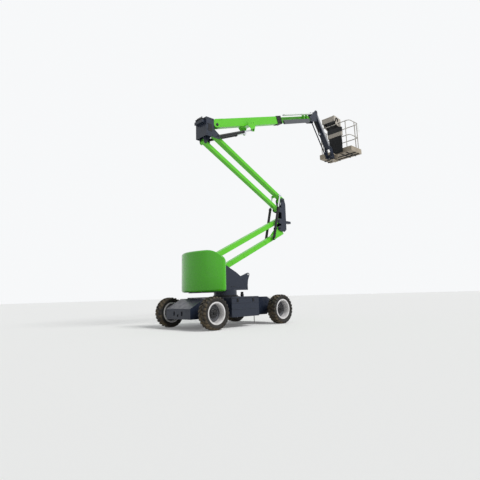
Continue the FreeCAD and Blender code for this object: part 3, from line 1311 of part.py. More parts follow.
def platform_floor():
    """A floor plate with a toe board all round, feet for the posts, and the arms that hold the rotator."""
    wall = block("toe_outside", "deck_setback", deck_front, "-deck_half", "deck_half", "0", "toe_height")
    room = block("toe_inside", "deck_setback + toe_plate", deck_front + " - toe_plate", "toe_plate - deck_half",
                 "deck_half - toe_plate", "deck_plate", "toe_height + 5")
    pieces = [cut("pan", wall, [room])]
    for x, y in post_places:
        pieces.append(round_bar("post_foot", "z", "foot_radius", "deck_plate - 2", "foot_height + 2", x=x, y=y))
    low = housing_low + " - rotator_gap - rotator_arm"
    for level in (low, "-deck_clearance - rotator_arm"):
        pieces.append(block("rotator_plate", "0", "deck_setback + 60", "-arm_half", "arm_half", level,
                            level + " + rotator_arm"))
        pieces.append(round_bar("rotator_eye", "z", "arm_half", level, "rotator_arm"))
    pieces.append(block("rotator_post", "deck_setback - 50", "deck_setback + 60", "-arm_half", "arm_half", low,
                        "4"))
    bore = round_bar("rotator_bore", "z", "rotator_shaft + running_fit", low + " - 5",
                     "rotator_height + 2 * (rotator_gap + rotator_arm) + 10")
    return cut("platform_floor_solid", fuse("platform_floor_form", pieces), [bore])


keep(platform_floor(), "platform_floor", platform_place)


def bent_tube(name, radius, points, bend, closed=False):
    """A round bar along straight runs that are joined by bends of one radius."""
    count = len(points)
    bends = range(count) if closed else range(1, count - 1)
    arcs = {}
    for number in bends:
        before = (points[number - 1] - points[number]).normalize()
        after = (points[(number + 1) % count] - points[number]).normalize()
        half_angle = before.getAngle(after) / 2
        reach = bend / math.tan(half_angle)
        centre = points[number] + (before + after).normalize() * (bend / math.sin(half_angle))
        middle = centre + (points[number] - centre).normalize() * bend
        arcs[number] = (points[number] + before * reach, middle, points[number] + after * reach)
    edges = []
    for number in range(count if closed else count - 1):
        following = (number + 1) % count
        leave = arcs[number][2] if number in arcs else points[number]
        arrive = arcs[following][0] if following in arcs else points[following]
        edges.append(Part.LineSegment(leave, arrive).toShape())
        if following in arcs:
            edges.append(Part.Arc(*arcs[following]).toShape())
    path = Part.Wire(edges)
    run = points[1] - points[0]
    foot = path.Edges[0].valueAt(path.Edges[0].FirstParameter)
    section = Part.Wire(Part.Circle(foot, run, radius).toShape())
    thing = document.addObject("Part::Feature", name)
    thing.Shape = path.makePipeShell([section], True, False)
    return thing


def rail_corners(shift):
    """The four corners of a rail's loop, moved inwards by `shift`."""
    rear = rail_rear + " + " + shift
    front = rail_front + " - (%s)" % shift
    side = rail_side + " - (%s)" % shift
    return (rear, minus(side)), (front, minus(side)), (front, side), (rear, side)


def platform_rails():
    """The top rail, bent from one tube."""
    top = [vector(x, y, "rail_height - rail_radius") for x, y in rail_corners("0")]
    return bent_tube("top_rail", value("rail_radius"), top, value("rail_bend"), closed=True)


def middle_rail():
    """The middle rail, inside the posts and open at the entry."""
    rear_right, front_right, front_left, rear_left = rail_corners("2 * rail_radius + fit_gap")
    side = front_left[1]
    points = [vector(x, y, "middle_height") for x, y in
              ((gate_front, side), front_left, front_right, rear_right, rear_left, (gate_rear, side))]
    bend = value("rail_bend - 2 * rail_radius - fit_gap")
    return bent_tube("middle_tube", value("rail_radius"), points, bend)


def rail_posts():
    low = "deck_plate + foot_height + fit_gap"
    return fuse("rail_posts_solid", [round_bar("post", "z", "rail_radius", low,
                                               "rail_height - 2 * rail_radius - fit_gap - (%s)" % low, x=x, y=y)
                                     for x, y in post_places])


keep(platform_rails(), "platform_rails", platform_place)
keep(middle_rail(), "middle_rail", platform_place)
keep(rail_posts(), "rail_posts", platform_place)


def gate_bar():
    """The entry's bar: it slides up the posts on two sleeves."""
    low = "middle_height + rail_radius + fit_gap"
    bar = round_bar("gate_tube", "x", "gate_radius", gate_rear, "(%s) - (%s)" % (gate_front, gate_rear),
                    y=rail_side, z=low + " + sleeve_height / 2")
    sleeves = [round_bar("sleeve", "z", "rail_radius + sleeve_wall", low, "sleeve_height", x=x, y=rail_side)
               for x in (gate_rear, gate_front)]
    bores = [round_bar("sleeve_bore", "z", "rail_radius + fit_gap", low + " - 5", "sleeve_height + 10", x=x,
                       y=rail_side)
             for x in (gate_rear, gate_front)]
    return cut("gate_bar_solid", fuse("gate_form", [bar] + sleeves), bores)


keep(gate_bar(), "gate_bar", platform_place)


def control_console():
    """The operator's console between two side plates that stand on the top rail."""
    rear = "deck_setback - console_setback"
    front = rear + " + console_depth"
    base = "rail_height + fit_gap"
    under = base + " - console_fall"
    corners = (
        # columns: x, z
        (rear, base + " + console_low"), (rear + " + 2 * console_saddle", base + " + console_low"),
        (front, under + " + 40"), (front, base + " + console_lip"),
        (rear + " + 60", base + " + console_height"),
        (rear, base + " + console_height"),
    )
    body = profile("console", "XZ_Plane", (corners,), "console_left - console_right", shift="-console_left",
                   middle=False)
    side = (
        (rear + " - 6", base + " + console_low"), (rear + " + console_saddle", base + " + console_low"),
        (rear + " + console_saddle", base), (rear + " + console_saddle + 47", base), (front + " + 10", under),
        (front + " + 10", base + " + console_lip + 12"),
        (rear + " + 60", base + " + console_height + 12"), (rear + " - 6", base + " + console_height + 12"),
    )
    plates = [profile("console_side", "XZ_Plane", (side,), "cheek_sheet", shift=place, middle=False)
              for place in ("-console_left - cheek_sheet + 1", "-console_right - 1")]
    return fuse("console_solid", [body] + plates)


def hung_panel(name, low, high, inset="0"):
    """A panel across the jib side, outside the rails."""
    front = rail_rear + " - rail_radius - fit_gap"
    outline = rectangle(front + " - panel_depth", front, "panel_right + (%s)" % inset,
                        "panel_left - (%s)" % inset)
    return profile(name, "XY_Plane", (outline,), "(%s) - (%s)" % (high, low), shift=low, middle=False)


def tool_bag():
    """A soft bag that hangs from the pale panel, outside the toe board."""
    front = "deck_setback - fit_gap"
    outline = rectangle(front + " - panel_depth", front, "panel_right + 10", "panel_left - 25")
    bag = profile("bag", "XY_Plane", (outline,), "pale_bottom - fit_gap - bag_bottom", shift="bag_bottom",
                  middle=False)
    return round_edges(bag, "bag_round", lambda edge: True)


keep(control_console(), "control_console", platform_place)
keep(hung_panel("dark_box", "shroud_bottom", "rail_height + console_low - fit_gap"), "console_shroud",
     platform_place)
keep(hung_panel("pale_panel", "pale_bottom", "shroud_bottom - fit_gap"), "pale_panel", platform_place)
keep(tool_bag(), "tool_bag", platform_place)

# Checks and files

document.recompute()
for thing in document.Objects:
    if "Invalid" in thing.State or "Error" in thing.State:
        raise RuntimeError("%s is %s" % (thing.Label, thing.State))
os.makedirs("parts", exist_ok=True)
for node in nodes:
    shape = node.Shape
    if shape.isNull() or not shape.isValid() or shape.Volume <= 0:
        raise RuntimeError("%s has no valid shape" % node.Label)
    shape.exportStep("parts/%s.step" % node.Label)
    print("%-22s %d solids %9.4f m3" % (node.Label, len(shape.Solids), shape.Volume / 1e9))
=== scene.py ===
import json
import math
import random

import bmesh
import bpy
from mathutils import Matrix, Vector


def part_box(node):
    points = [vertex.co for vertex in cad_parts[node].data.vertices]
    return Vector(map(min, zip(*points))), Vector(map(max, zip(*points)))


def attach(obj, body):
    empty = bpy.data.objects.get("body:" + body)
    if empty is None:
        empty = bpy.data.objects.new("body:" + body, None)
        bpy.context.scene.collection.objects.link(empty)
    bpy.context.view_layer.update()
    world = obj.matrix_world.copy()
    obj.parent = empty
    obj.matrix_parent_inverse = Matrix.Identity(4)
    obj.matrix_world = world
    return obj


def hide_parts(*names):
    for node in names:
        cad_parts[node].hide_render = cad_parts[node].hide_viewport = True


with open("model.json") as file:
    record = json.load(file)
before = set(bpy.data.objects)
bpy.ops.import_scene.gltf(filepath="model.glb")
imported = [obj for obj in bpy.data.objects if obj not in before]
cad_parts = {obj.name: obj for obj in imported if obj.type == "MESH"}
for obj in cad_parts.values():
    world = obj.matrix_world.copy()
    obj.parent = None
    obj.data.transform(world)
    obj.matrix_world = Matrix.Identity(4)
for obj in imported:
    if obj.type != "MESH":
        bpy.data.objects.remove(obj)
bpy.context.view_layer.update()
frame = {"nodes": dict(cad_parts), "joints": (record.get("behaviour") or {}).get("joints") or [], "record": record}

scene = bpy.context.scene
chance = random.Random(7)

# Places from the frame

JOINTS = {joint["name"]: joint for joint in frame["joints"]}
PIVOT = {name: Vector(joint["pos_m"]) for name, joint in JOINTS.items() if "pos_m" in joint}
CORNERS = [end + side for end in ("front_", "rear_") for side in ("left", "right")]
SIDES = (1, -1)  # left, right
HERE = Matrix.Identity(4)


def slanted(start, end):
    """A frame whose X runs from one point of the boom's plane to another, with Y to the left."""
    along = (end - start).normalized()
    across = Vector((0, 1, 0))
    up = along.cross(across)
    turn = Matrix((along, across, up)).transposed().to_4x4()
    return Matrix.Translation(start) @ turn


def facing(place, normal, turn=0.0):
    """A frame at a point, with its Z along a normal."""
    quat = Vector(normal).to_track_quat("Z", "Y").to_matrix().to_4x4()
    return Matrix.Translation(place) @ quat @ Matrix.Rotation(turn, 4, "Z")


def spokes(count, shift=0.0):
    """Angles evenly round a circle."""
    return [2 * math.pi * (number + shift) / count for number in range(count)]


def polar(radius, turn, height=0.0):
    return Vector((radius * math.cos(turn), radius * math.sin(turn), height))


LOWER = slanted(PIVOT["tower_raise"], PIVOT["knee_level"])
UPPER = slanted(PIVOT["head_level"], PIVOT["upper_arm_turn"])
BOOM = slanted(PIVOT["boom_raise"], PIVOT["jib_root_level"])
JIB = slanted(PIVOT["jib_raise"], PIVOT["bracket_level"])
KNEE = Matrix.Translation(PIVOT["knee_level"])
HEAD = Matrix.Translation(PIVOT["head_level"] + PIVOT["upper_link_turn"] - PIVOT["upper_arm_turn"])
BASE = Matrix.Translation(PIVOT["jib_root_level"])
BRACKET = Matrix.Translation(PIVOT["bracket_level"])


# Camera

CAMERA_PLACE = Vector((-7.956, -9.151, 0.8725))
CAMERA_YAW = math.radians(43.37)
CAMERA_PITCH = math.radians(11.45)
CAMERA_ROLL = math.radians(-1.59)
IMAGE_SIDE = 480
FOCAL_PIXELS = 401.6
CENTRE_ROW = 213
SENSOR = 36.0


def make_camera():
    """The photograph's view, with its middle at CENTRE_ROW."""
    forward = Vector((math.sin(CAMERA_YAW) * math.cos(CAMERA_PITCH),
                      math.cos(CAMERA_YAW) * math.cos(CAMERA_PITCH), math.sin(CAMERA_PITCH)))
    right = Vector((math.cos(CAMERA_YAW), -math.sin(CAMERA_YAW), 0))
    up = right.cross(forward)
    tilted_right = right * math.cos(CAMERA_ROLL) + up * math.sin(CAMERA_ROLL)
    tilted_up = up * math.cos(CAMERA_ROLL) - right * math.sin(CAMERA_ROLL)
    data = bpy.data.cameras.new("camera")
    data.sensor_width = SENSOR
    data.lens = SENSOR * FOCAL_PIXELS / IMAGE_SIDE
    data.shift_y = (CENTRE_ROW - IMAGE_SIDE / 2) / IMAGE_SIDE
    data.clip_end = 200
    camera = bpy.data.objects.new("camera", data)
    scene.collection.objects.link(camera)
    turn = Matrix((tilted_right, tilted_up, -forward)).transposed().to_4x4()
    camera.matrix_world = Matrix.Translation(CAMERA_PLACE) @ turn
    scene.camera = camera


# Materials

DUST = (150, 128, 100)
THREAD_PITCH = 2600  # radians for each metre of cloth


def linear(colour, gain=1.0):
    """A shader colour from an sRGB one of 0 to 255."""
    parts = [channel / 255 for channel in colour]
    return [gain * (p / 12.92 if p <= 0.04045 else ((p + 0.055) / 1.055) ** 2.4) for p in parts] + [1.0]


class Shader:
    """Short calls to build one material's nodes."""

    def __init__(self, name):
        self.material = bpy.data.materials.new(name)
        self.material.use_nodes = True
        self.tree = self.material.node_tree
        self.surface = self.tree.nodes["Principled BSDF"]
        self.coordinates = self.add("ShaderNodeTexCoord").outputs["Object"]

    def add(self, kind, **settings):
        node = self.tree.nodes.new(kind)
        for key, setting in settings.items():
            setattr(node, key, setting)
        return node

    def link(self, source, target):
        self.tree.links.new(source, target)

    def put(self, socket, value):
        """A socket takes a number, a colour or another node's output."""
        if isinstance(value, bpy.types.NodeSocket):
            self.link(value, socket)
        else:
            socket.default_value = value

    def math(self, operation, first, second=0.5):
        node = self.add("ShaderNodeMath", operation=operation)
        for socket, value in zip(node.inputs, (first, second)):
            self.put(socket, value)
        return node.outputs[0]

    def noise(self, scale, detail=4.0, roughness=0.55, stretch=None):
        """Noise from 0 to 1; stretch scales the coordinates of each axis."""
        node = self.add("ShaderNodeTexNoise")
        node.inputs["Scale"].default_value = scale
        node.inputs["Detail"].default_value = detail
        node.inputs["Roughness"].default_value = roughness
        vector = self.coordinates
        if stretch:
            mapping = self.add("ShaderNodeMapping")
            mapping.inputs["Scale"].default_value = stretch
            self.link(vector, mapping.inputs["Vector"])
            vector = mapping.outputs["Vector"]
        self.link(vector, node.inputs["Vector"])
        return node.outputs["Fac"]

    def between(self, value, low, high, start=0.0, stop=1.0):
        """The value's stretch from low to high, taken to start to stop."""
        node = self.add("ShaderNodeMapRange", interpolation_type="SMOOTHSTEP")
        for socket, number in zip(node.inputs, (value, low, high, start, stop)):
            self.put(socket, number)
        return node.outputs["Result"]

    def mix(self, share, first, second):
        node = self.add("ShaderNodeMix", data_type="RGBA")
        for socket, value in zip((node.inputs[0], node.inputs[6], node.inputs[7]), (share, first, second)):
            self.put(socket, value)
        return node.outputs[2]

    def parts(self, vector):
        """A vector's X, Y and Z."""
        node = self.add("ShaderNodeSeparateXYZ")
        self.link(vector, node.inputs[0])
        return node.outputs

    def normal(self):
        return self.add("ShaderNodeNewGeometry").outputs["Normal"]

    def rounded(self, radius):
        """A normal that rolls over the solid's edges."""
        node = self.add("ShaderNodeBevel", samples=4)
        node.inputs["Radius"].default_value = radius
        return node.outputs["Normal"]

    def edges(self, radius):
        """1 close to a solid's edge, 0 on its faces."""
        dot = self.add("ShaderNodeVectorMath", operation="DOT_PRODUCT")
        self.link(self.rounded(radius), dot.inputs[0])
        self.link(self.normal(), dot.inputs[1])
        return self.between(dot.outputs["Value"], 0.995, 0.9)

    def dusted(self, body, upward, scale, low, dust):
        """Dust in patches over a colour, on what faces up."""
        film = self.math("MULTIPLY", self.between(self.parts(self.normal())["Z"], upward, 1.0),
                         self.between(self.noise(scale, 6.0), low, 0.75, 0, dust))
        return self.mix(film, body, linear(DUST))

    def relief(self, height, distance, radius=0.0):
        bump = self.add("ShaderNodeBump")
        bump.inputs["Strength"].default_value = 1.0
        bump.inputs["Distance"].default_value = distance
        self.link(height, bump.inputs["Height"])
        if radius:
            self.link(self.rounded(radius), bump.inputs["Normal"])
        self.link(bump.outputs["Normal"], self.surface.inputs["Normal"])

    def finish(self, colour, rough, metal=0.0, coat=0.0, specular=0.5):
        inputs = self.surface.inputs
        self.put(inputs["Base Color"], colour)
        self.put(inputs["Roughness"], rough)
        inputs["Metallic"].default_value = metal
        inputs["Coat Weight"].default_value = coat
        inputs["Coat Roughness"].default_value = 0.1
        inputs["Specular IOR Level"].default_value = specular
        return self.material


def painted(name, colour, rough=0.35, coat=0.12, dust=0.25, wear_and_highlight=0.25, edge=0.006, tone=0.12, ripple=0.0004):
    """Sprayed steel: uneven tone, dust on what faces up, edges lighter as rubbed wear with a painted highlight,
    and a slight orange peel.
    """
    shader = Shader(name)
    base = linear(colour)
    light = linear([min(255, channel * 1.25 + 18) for channel in colour])
    patches = shader.between(shader.noise(1.7, 5.0), 0.3, 0.7)
    body = shader.mix(shader.math("MULTIPLY", patches, tone), base, linear(colour, 0.55))
    # Lighter edges: partly rubbed wear, partly a painted highlight along every edge.
    rubbed_and_highlit = shader.math("MULTIPLY", shader.edges(edge), shader.between(shader.noise(23), 0.35, 0.7, 0, wear_and_highlight))
    body = shader.dusted(shader.mix(rubbed_and_highlit, body, light), 0.25, 6, 0.3, dust)
    gloss = shader.between(shader.noise(9), 0.3, 0.7, rough - 0.06, rough + 0.1)
    shader.relief(shader.noise(160, 2.0), ripple, radius=edge)
    return shader.finish(body, gloss, coat=coat, specular=0.3)


def moulded(name, colour, rough=0.5, grain=0.0008):
    """Plastic or rubber: a fine grain, uneven tone and dust."""
    shader = Shader(name)
    patches = shader.between(shader.noise(3.1, 5.0), 0.3, 0.7, 0, 0.2)
    body = shader.dusted(shader.mix(patches, linear(colour), linear(colour, 0.5)), 0.1, 11, 0.35, 0.2)
    shader.relief(shader.noise(220, 3.0), grain, radius=0.004)
    return shader.finish(body, shader.between(shader.noise(17), 0.3, 0.7, rough - 0.08, rough + 0.08))


def bare_metal(name, colour, rough):
    """Plated or turned metal with faint lines across its height."""
    shader = Shader(name)
    lines = shader.noise(30, 3.0, stretch=(1, 1, 40))
    body = shader.mix(shader.between(lines, 0.3, 0.7, 0, 0.25), linear(colour), linear(colour, 0.6))
    shader.relief(lines, 0.0002, radius=0.003)
    gloss = shader.between(shader.noise(14), 0.3, 0.7, rough - 0.05, rough + 0.12)
    return shader.finish(body, gloss, metal=1.0)


def cloth(name, colour):
    """Coated cloth: a plain weave of crossed threads, faded in patches."""
    shader = Shader(name)
    place = shader.parts(shader.coordinates)
    warp, weft = (shader.math("SINE", shader.math("MULTIPLY", place[axis], THREAD_PITCH)) for axis in "YZ")
    weave = shader.math("MULTIPLY", warp, weft)
    fade = shader.between(shader.noise(5, 5.0), 0.35, 0.7, 0, 0.5)
    body = shader.mix(fade, linear(colour), linear([channel * 1.5 for channel in colour]))
    body = shader.mix(shader.between(weave, -1, 1, 0, 0.25), body, linear(colour, 0.5))
    shader.relief(weave, 0.0006)
    shader.surface.inputs["Sheen Weight"].default_value = 0.25
    return shader.finish(body, 0.85, specular=0.3)


def tyre_rubber():
    """Black rubber that dry soil has coloured on the tread and in patches on the wall."""
    shader = Shader("tyre_rubber")
    patches = shader.between(shader.noise(5.5, 7.0, 0.7), 0.38, 0.66)
    fine = shader.between(shader.noise(60, 4.0), 0.3, 0.7, 0.5, 1.0)
    tread = shader.between(wheel_radius(shader), 0.36, 0.405, 0.1, 0.85)
    soil = shader.math("MULTIPLY", shader.math("MULTIPLY", patches, fine), tread)
    body = shader.mix(soil, linear((30, 29, 28)), linear((132, 116, 92)))
    shader.relief(shader.noise(90, 5.0), 0.0016, radius=0.004)
    return shader.finish(body, shader.between(patches, 0, 1, 0.62, 0.9), specular=0.35)


def wheel_radius(shader):
    """Distance from the wheel's axle line, for any of the four wheels."""
    centre = PIVOT["roll_front_left"]
    place = shader.parts(shader.coordinates)
    along = shader.math("SUBTRACT", shader.math("ABSOLUTE", place["X"]), centre.x)
    up = shader.math("SUBTRACT", place["Z"], centre.z)
    squares = shader.math("ADD", shader.math("MULTIPLY", along, along), shader.math("MULTIPLY", up, up))
    return shader.math("SQRT", squares)


def rim_paint():
    """Silver white on the rim's ring, and a deep grey with dust in its dish."""
    shader = Shader("rim_paint")
    radius = wheel_radius(shader)
    ring = shader.between(radius, 0.228, 0.236)
    stains = shader.between(shader.noise(16, 6.0), 0.35, 0.7, 0, 0.6)
    dish = shader.mix(stains, linear((92, 93, 98)), linear((46, 46, 50)))
    hub = shader.between(radius, 0.13, 0.115)
    dish = shader.mix(hub, dish, linear((34, 34, 37)))
    bright = shader.mix(shader.between(shader.noise(9, 5.0), 0.4, 0.7, 0, 0.35), linear((216, 214, 214)),
                        linear((168, 164, 158)))
    shader.relief(shader.noise(120), 0.0004, radius=0.003)
    return shader.finish(shader.mix(ring, dish, bright), 0.42, coat=0.1)


MATERIALS = {
    "tyre": tyre_rubber(),
    "rim": rim_paint(),
    "slate": painted("slate_paint", (34, 41, 56), coat=0.15, dust=0.08),
    "green": painted("lime_paint", (98, 202, 42), coat=0.15, dust=0.03, wear_and_highlight=0.15),
    "cover_green": painted("cover_paint", (72, 176, 20), rough=0.25, coat=0.35, dust=0.02, wear_and_highlight=0.05,
                           edge=0.004, tone=0.08, ripple=0.0003),
    "black": painted("black_paint", (16, 17, 20), rough=0.42, coat=0.05, dust=0.15, wear_and_highlight=0.3),
    "chrome": bare_metal("chrome_rod", (222, 224, 228), 0.14),
    "iron": painted("casting_paint", (52, 56, 64), rough=0.55, coat=0.0, ripple=0.0012),
    "battery": moulded("battery_case", (38, 38, 40)),
    "rubber": moulded("strap_rubber", (24, 23, 22), rough=0.7),
    "tray": painted("tray_paint", (236, 238, 236), rough=0.3, coat=0.2, dust=0.1, wear_and_highlight=0.1),
    "beige": painted("dusty_floor", (176, 164, 146), rough=0.55, coat=0.0, dust=0.5, wear_and_highlight=0.4, tone=0.6),
    "rail": painted("rail_paint", (190, 186, 178), rough=0.38, dust=0.3, wear_and_highlight=0.3),
    "console": painted("console_paint", (188, 180, 168), rough=0.42, coat=0.1, dust=0.3, wear_and_highlight=0.3),
    "grey": painted("grey_paint", (84, 86, 90), rough=0.45, coat=0.1, dust=0.3, wear_and_highlight=0.3),
    "fabric": cloth("bag_cloth", (22, 23, 25)),
    # A light grey for the jib's near face: painted light where that face is lit.
    "lit_face_paint": painted("painted_lit_face", (150, 152, 156), rough=0.35, coat=0.2, dust=0.2, wear_and_highlight=0.2),
    "red": moulded("red_button", (190, 24, 20), rough=0.3, grain=0.0001),
}

for entry in frame["record"]["subparts"]:
    node = frame["nodes"][entry["node"]]
    node.data.materials.clear()
    node.data.materials.append(MATERIALS[entry["material_slot"]])


# Pieces in mesh code

# Radii of bolt heads, the head's height as a share of it, edges' roundings and radii on the rams
FRAME_BOLT, PLATE_BOLT, SMALL_BOLT = 0.011, 0.009, 0.007
LOW_HEAD = 0.5
FINE_EDGE, PIN_EDGE, EDGE, BROAD_EDGE = 0.0005, 0.0006, 0.0008, 0.001
GLAND_RADIUS, BARREL_RADIUS = 0.0505, 0.0455


class Build:
    """Solids gathered in one mesh, in the frame's coordinates."""

    def __init__(self):
        self.mesh = bmesh.new()

    def loft(self, rings, closed=False, capped=True):
        """Skin over rings of as many points each; gives the rings' vertices."""
        made = [[self.mesh.verts.new(point) for point in ring] for ring in rings]
        pairs = list(zip(made, made[1:])) + ([(made[-1], made[0])] if closed else [])
        for first, second in pairs:
            count = len(first)
            for number in range(count):
                following = (number + 1) % count
                self.mesh.faces.new((first[number], first[following], second[following], second[number]))
        if capped and not closed:
            self.mesh.faces.new(list(reversed(made[0])))
            self.mesh.faces.new(made[-1])
        return made

    def lathe(self, place, profile, sides=32, closed=False):
        """Rings round the place's Z; the profile's rows are height and radius."""
        self.loft([[place @ polar(radius, turn, height) for turn in spokes(sides)]
                   for height, radius in profile], closed=closed)

    def bolt(self, place, size, head=0.6):
        """A hexagon head on a washer; the place's Z points away from the surface."""
        washer, rim = size * 1.35, size * 0.16
        self.lathe(place, ((0, washer), (rim, washer)), 16)
        self.lathe(place, ((rim, size), (size * (0.06 + head), size), (size * (0.16 + head), size * 0.86)), 6)

    def prism(self, place, outline, low, high):
        """An outline in the place's X and Z, from one Y to another."""
        self.loft([[place @ Vector((x, y, z)) for x, z in outline] for y in (low, high)])

    def torus(self, place, radius, thickness, sides=64, section=8):
        self.loft([[place @ polar(radius + thickness * math.cos(bend), turn, thickness * math.sin(bend))
                    for bend in spokes(section)] for turn in spokes(sides)], closed=True)

    def piece(self, name, body, finish="black", slot=None, bevel=0.0, segments=2, smooth=35):
        """The finished object, riding on its body; its slot argument is not used."""
        bmesh.ops.recalc_face_normals(self.mesh, faces=self.mesh.faces)
        data = bpy.data.meshes.new(name)
        self.mesh.to_mesh(data)
        self.mesh.free()
        data.materials.append(MATERIALS[finish])
        made = bpy.data.objects.new(name, data)
        scene.collection.objects.link(made)
        if bevel:
            rounding = made.modifiers.new("edges", "BEVEL")
            rounding.width = bevel
            rounding.segments = segments
            rounding.limit_method = "ANGLE"
            rounding.angle_limit = math.radians(40)
        data.shade_smooth()
        data.set_sharp_from_angle(angle=math.radians(smooth))
        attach(made, body)
        slot = finish if slot is None else slot
        return made


def side_bolts(build, place, spots, face, size, head=0.6, straight=False):
    """Bolts on both outer faces at (along, up) spots of a frame, each turned by chance unless straight."""
    for along, up in spots:
        for out in SIDES:
            turn = 0.0 if straight else chance.uniform(0, 1)
            build.bolt(facing(place @ Vector((along, out * face, up)), (0, out, 0), turn), size, head)


def keeper(build, place, along, up, face, radius, depth=0.004):
    """A keeper disc with three low screws on both ends of a pin."""
    for out in SIDES:
        disc = facing(place @ Vector((along, out * face, up)), (0, out, 0))
        build.lathe(disc, ((0, radius), (depth, radius), (depth + 0.0012, radius - 0.003),
                           (depth + 0.0012, radius * 0.42), (depth - 0.002, radius * 0.36)))
        for turn in spokes(3):
            screw = disc @ Matrix.Translation(polar(radius * 0.68, turn + 0.4, depth))
            build.lathe(screw, ((0, radius * 0.13), (depth * 0.8, radius * 0.13), (depth, radius * 0.09)), 6)


def joint_keeper(build, joint, face, radius, depth):
    keeper(build, HERE, PIVOT[joint].x, PIVOT[joint].z, face, radius, depth)


def pad(build, place, low, high, chamfer=0.004):
    """A block with chamfered edges round its long way."""
    (x0, y0, z0), (x1, y1, z1), c = low, high, chamfer
    outline = ((y0 + c, z0), (y1 - c, z0), (y1, z0 + c), (y1, z1 - c),
               (y1 - c, z1), (y0 + c, z1), (y0, z1 - c), (y0, z0 + c))
    build.loft([[place @ Vector((x, y, z)) for y, z in outline] for x in (x0, x1)])


def ram_rings(build, ram, across, rows):
    """Rings round both barrels of a pair of rams; the rows are reach along the barrel and thickness."""
    start = PIVOT[ram + "_turn"]
    along = Vector(JOINTS[ram + "_slide"]["axis"])
    for out in SIDES:
        for reach, thick in rows:
            radius = GLAND_RADIUS if reach > 1 else BARREL_RADIUS
            spot = start + along * reach + Vector((0, out * across, 0))
            build.torus(facing(spot, along), radius, thick, 36)


# Wheels

LUGS_PER_SIDE = 24
LUG_SHARE = 0.56  # of the pitch
LUG_SKEW = 1.1  # radians for each metre towards the tyre's middle
LUG_TAPER = 0.05  # where a lug begins to narrow, from the tyre's middle
TYRE_HALF = 0.15
BEAD_HALF, BEAD_RADIUS = 0.1095, 0.256
# columns: distance from the tyre's middle, radius
TYRE_WALL = ((0.1095, 0.2865), (0.128, 0.30), (0.1415, 0.325), (0.146, 0.35), (0.1435, 0.368), (0.134, 0.385),
             (0.11, 0.392), (0.06, 0.3955), (0.0, 0.3965))
LUG_FORM = ((0.012, 0.394), (0.012, 0.419), (0.07, 0.4195), (0.118, 0.414), (0.138, 0.402), (0.1495, 0.380),
            (0.1495, 0.352), (0.1445, 0.349), (0.139, 0.37))
WALL_RINGS = ((0.1285, 0.302), (0.1385, 0.318))
WHEEL_BOLTS, BOLT_CIRCLE, WHEEL_BOLT = 9, 0.088, 0.0125
HUB_CAP = 0.045
HUB_DEPTH = 0.096  # of the rim's disc behind its outer edge


def make_tyre(corner):
    """A carcass with two rows of lugs that lean into each other, half a pitch apart."""
    place = Matrix.Translation(PIVOT["roll_" + corner]) @ Matrix.Rotation(-math.pi / 2, 4, "X")
    tyre = Build()
    section = list(TYRE_WALL) + [(-across, radius) for across, radius in reversed(TYRE_WALL[:-1])]
    tyre.lathe(place, section + [(-BEAD_HALF, BEAD_RADIUS), (BEAD_HALF, BEAD_RADIUS)], 96, closed=True)
    half = math.pi / LUGS_PER_SIDE * LUG_SHARE
    for row in (-1, 1):
        for middle in spokes(LUGS_PER_SIDE, 0.5 if row > 0 else 0.0):
            rings = []
            for edge in (-1, 0, 1):
                ring = []
                for across, radius in LUG_FORM:
                    lean = LUG_SKEW * (TYRE_HALF - across)
                    narrow = 1.0 - 0.25 * min(1.0, max(0.0, (LUG_TAPER - across) / LUG_TAPER))
                    ring.append(place @ polar(radius, middle + lean + edge * half * narrow, row * across))
                rings.append(ring)
            tyre.loft(rings)
    for out in (-1, 1):
        for across, radius in WALL_RINGS:
            tyre.torus(place @ Matrix.Translation((0, 0, out * across)), radius, 0.0022, 96, 6)
    made = tyre.piece("tread_" + corner, "wheel_" + corner, "tyre", bevel=0.003, segments=1, smooth=40)
    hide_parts("tyre_" + corner)


def beside(centre, radius, turn, across):
    """A point round an axle line, at a distance across the machine."""
    return Vector((centre.x + radius * math.cos(turn), across, centre.z + radius * math.sin(turn)))


def make_wheel_hub(corner):
    """Wheel bolts and the hub's cap, on the disc inside the dish."""
    centre = PIVOT["roll_" + corner]
    out = 1 if corner.endswith("left") else -1
    low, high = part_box("rim_" + corner)
    face = (high.y if out > 0 else low.y) - out * HUB_DEPTH
    hub = Build()
    for turn in spokes(WHEEL_BOLTS):
        hub.bolt(facing(beside(centre, BOLT_CIRCLE, turn, face), (0, out, 0), turn), WHEEL_BOLT, head=1.0)
    cap = facing((centre.x, face, centre.z), (0, out, 0))
    hub.lathe(cap, ((0, HUB_CAP), (0.018, HUB_CAP), (0.026, HUB_CAP - 0.008), (0.028, 0.012)))
    hub.piece("hub_bolts_" + corner, "wheel_" + corner, bevel=0.0015)


# Chassis

BOX_BOLT_INSET, LATCH_INSET, LID_DROP = 0.035, 0.22, 0.05
RING_BOLTS, MOTOR_BOLTS = 28, 6
MOTOR_PLACE = (0.455, -0.24)
MOTOR_FORM = ((0.0, 0.062), (0.012, 0.062), (0.016, 0.05), (0.06, 0.05), (0.064, 0.056), (0.078, 0.056),
              (0.082, 0.044), (0.15, 0.042), (0.156, 0.03), (0.16, 0.012))
END_BOLTS = [(y, z) for y in (-0.47, -0.36, 0.36, 0.47) for z in (0.31, 0.49)]
FLANK_BOLTS = [(x, 0.73) for x in (-1.0, -0.72, 0.46, 0.74, 1.0)]
GEAR_BOLTS, GEAR_CIRCLE = 12, 0.133


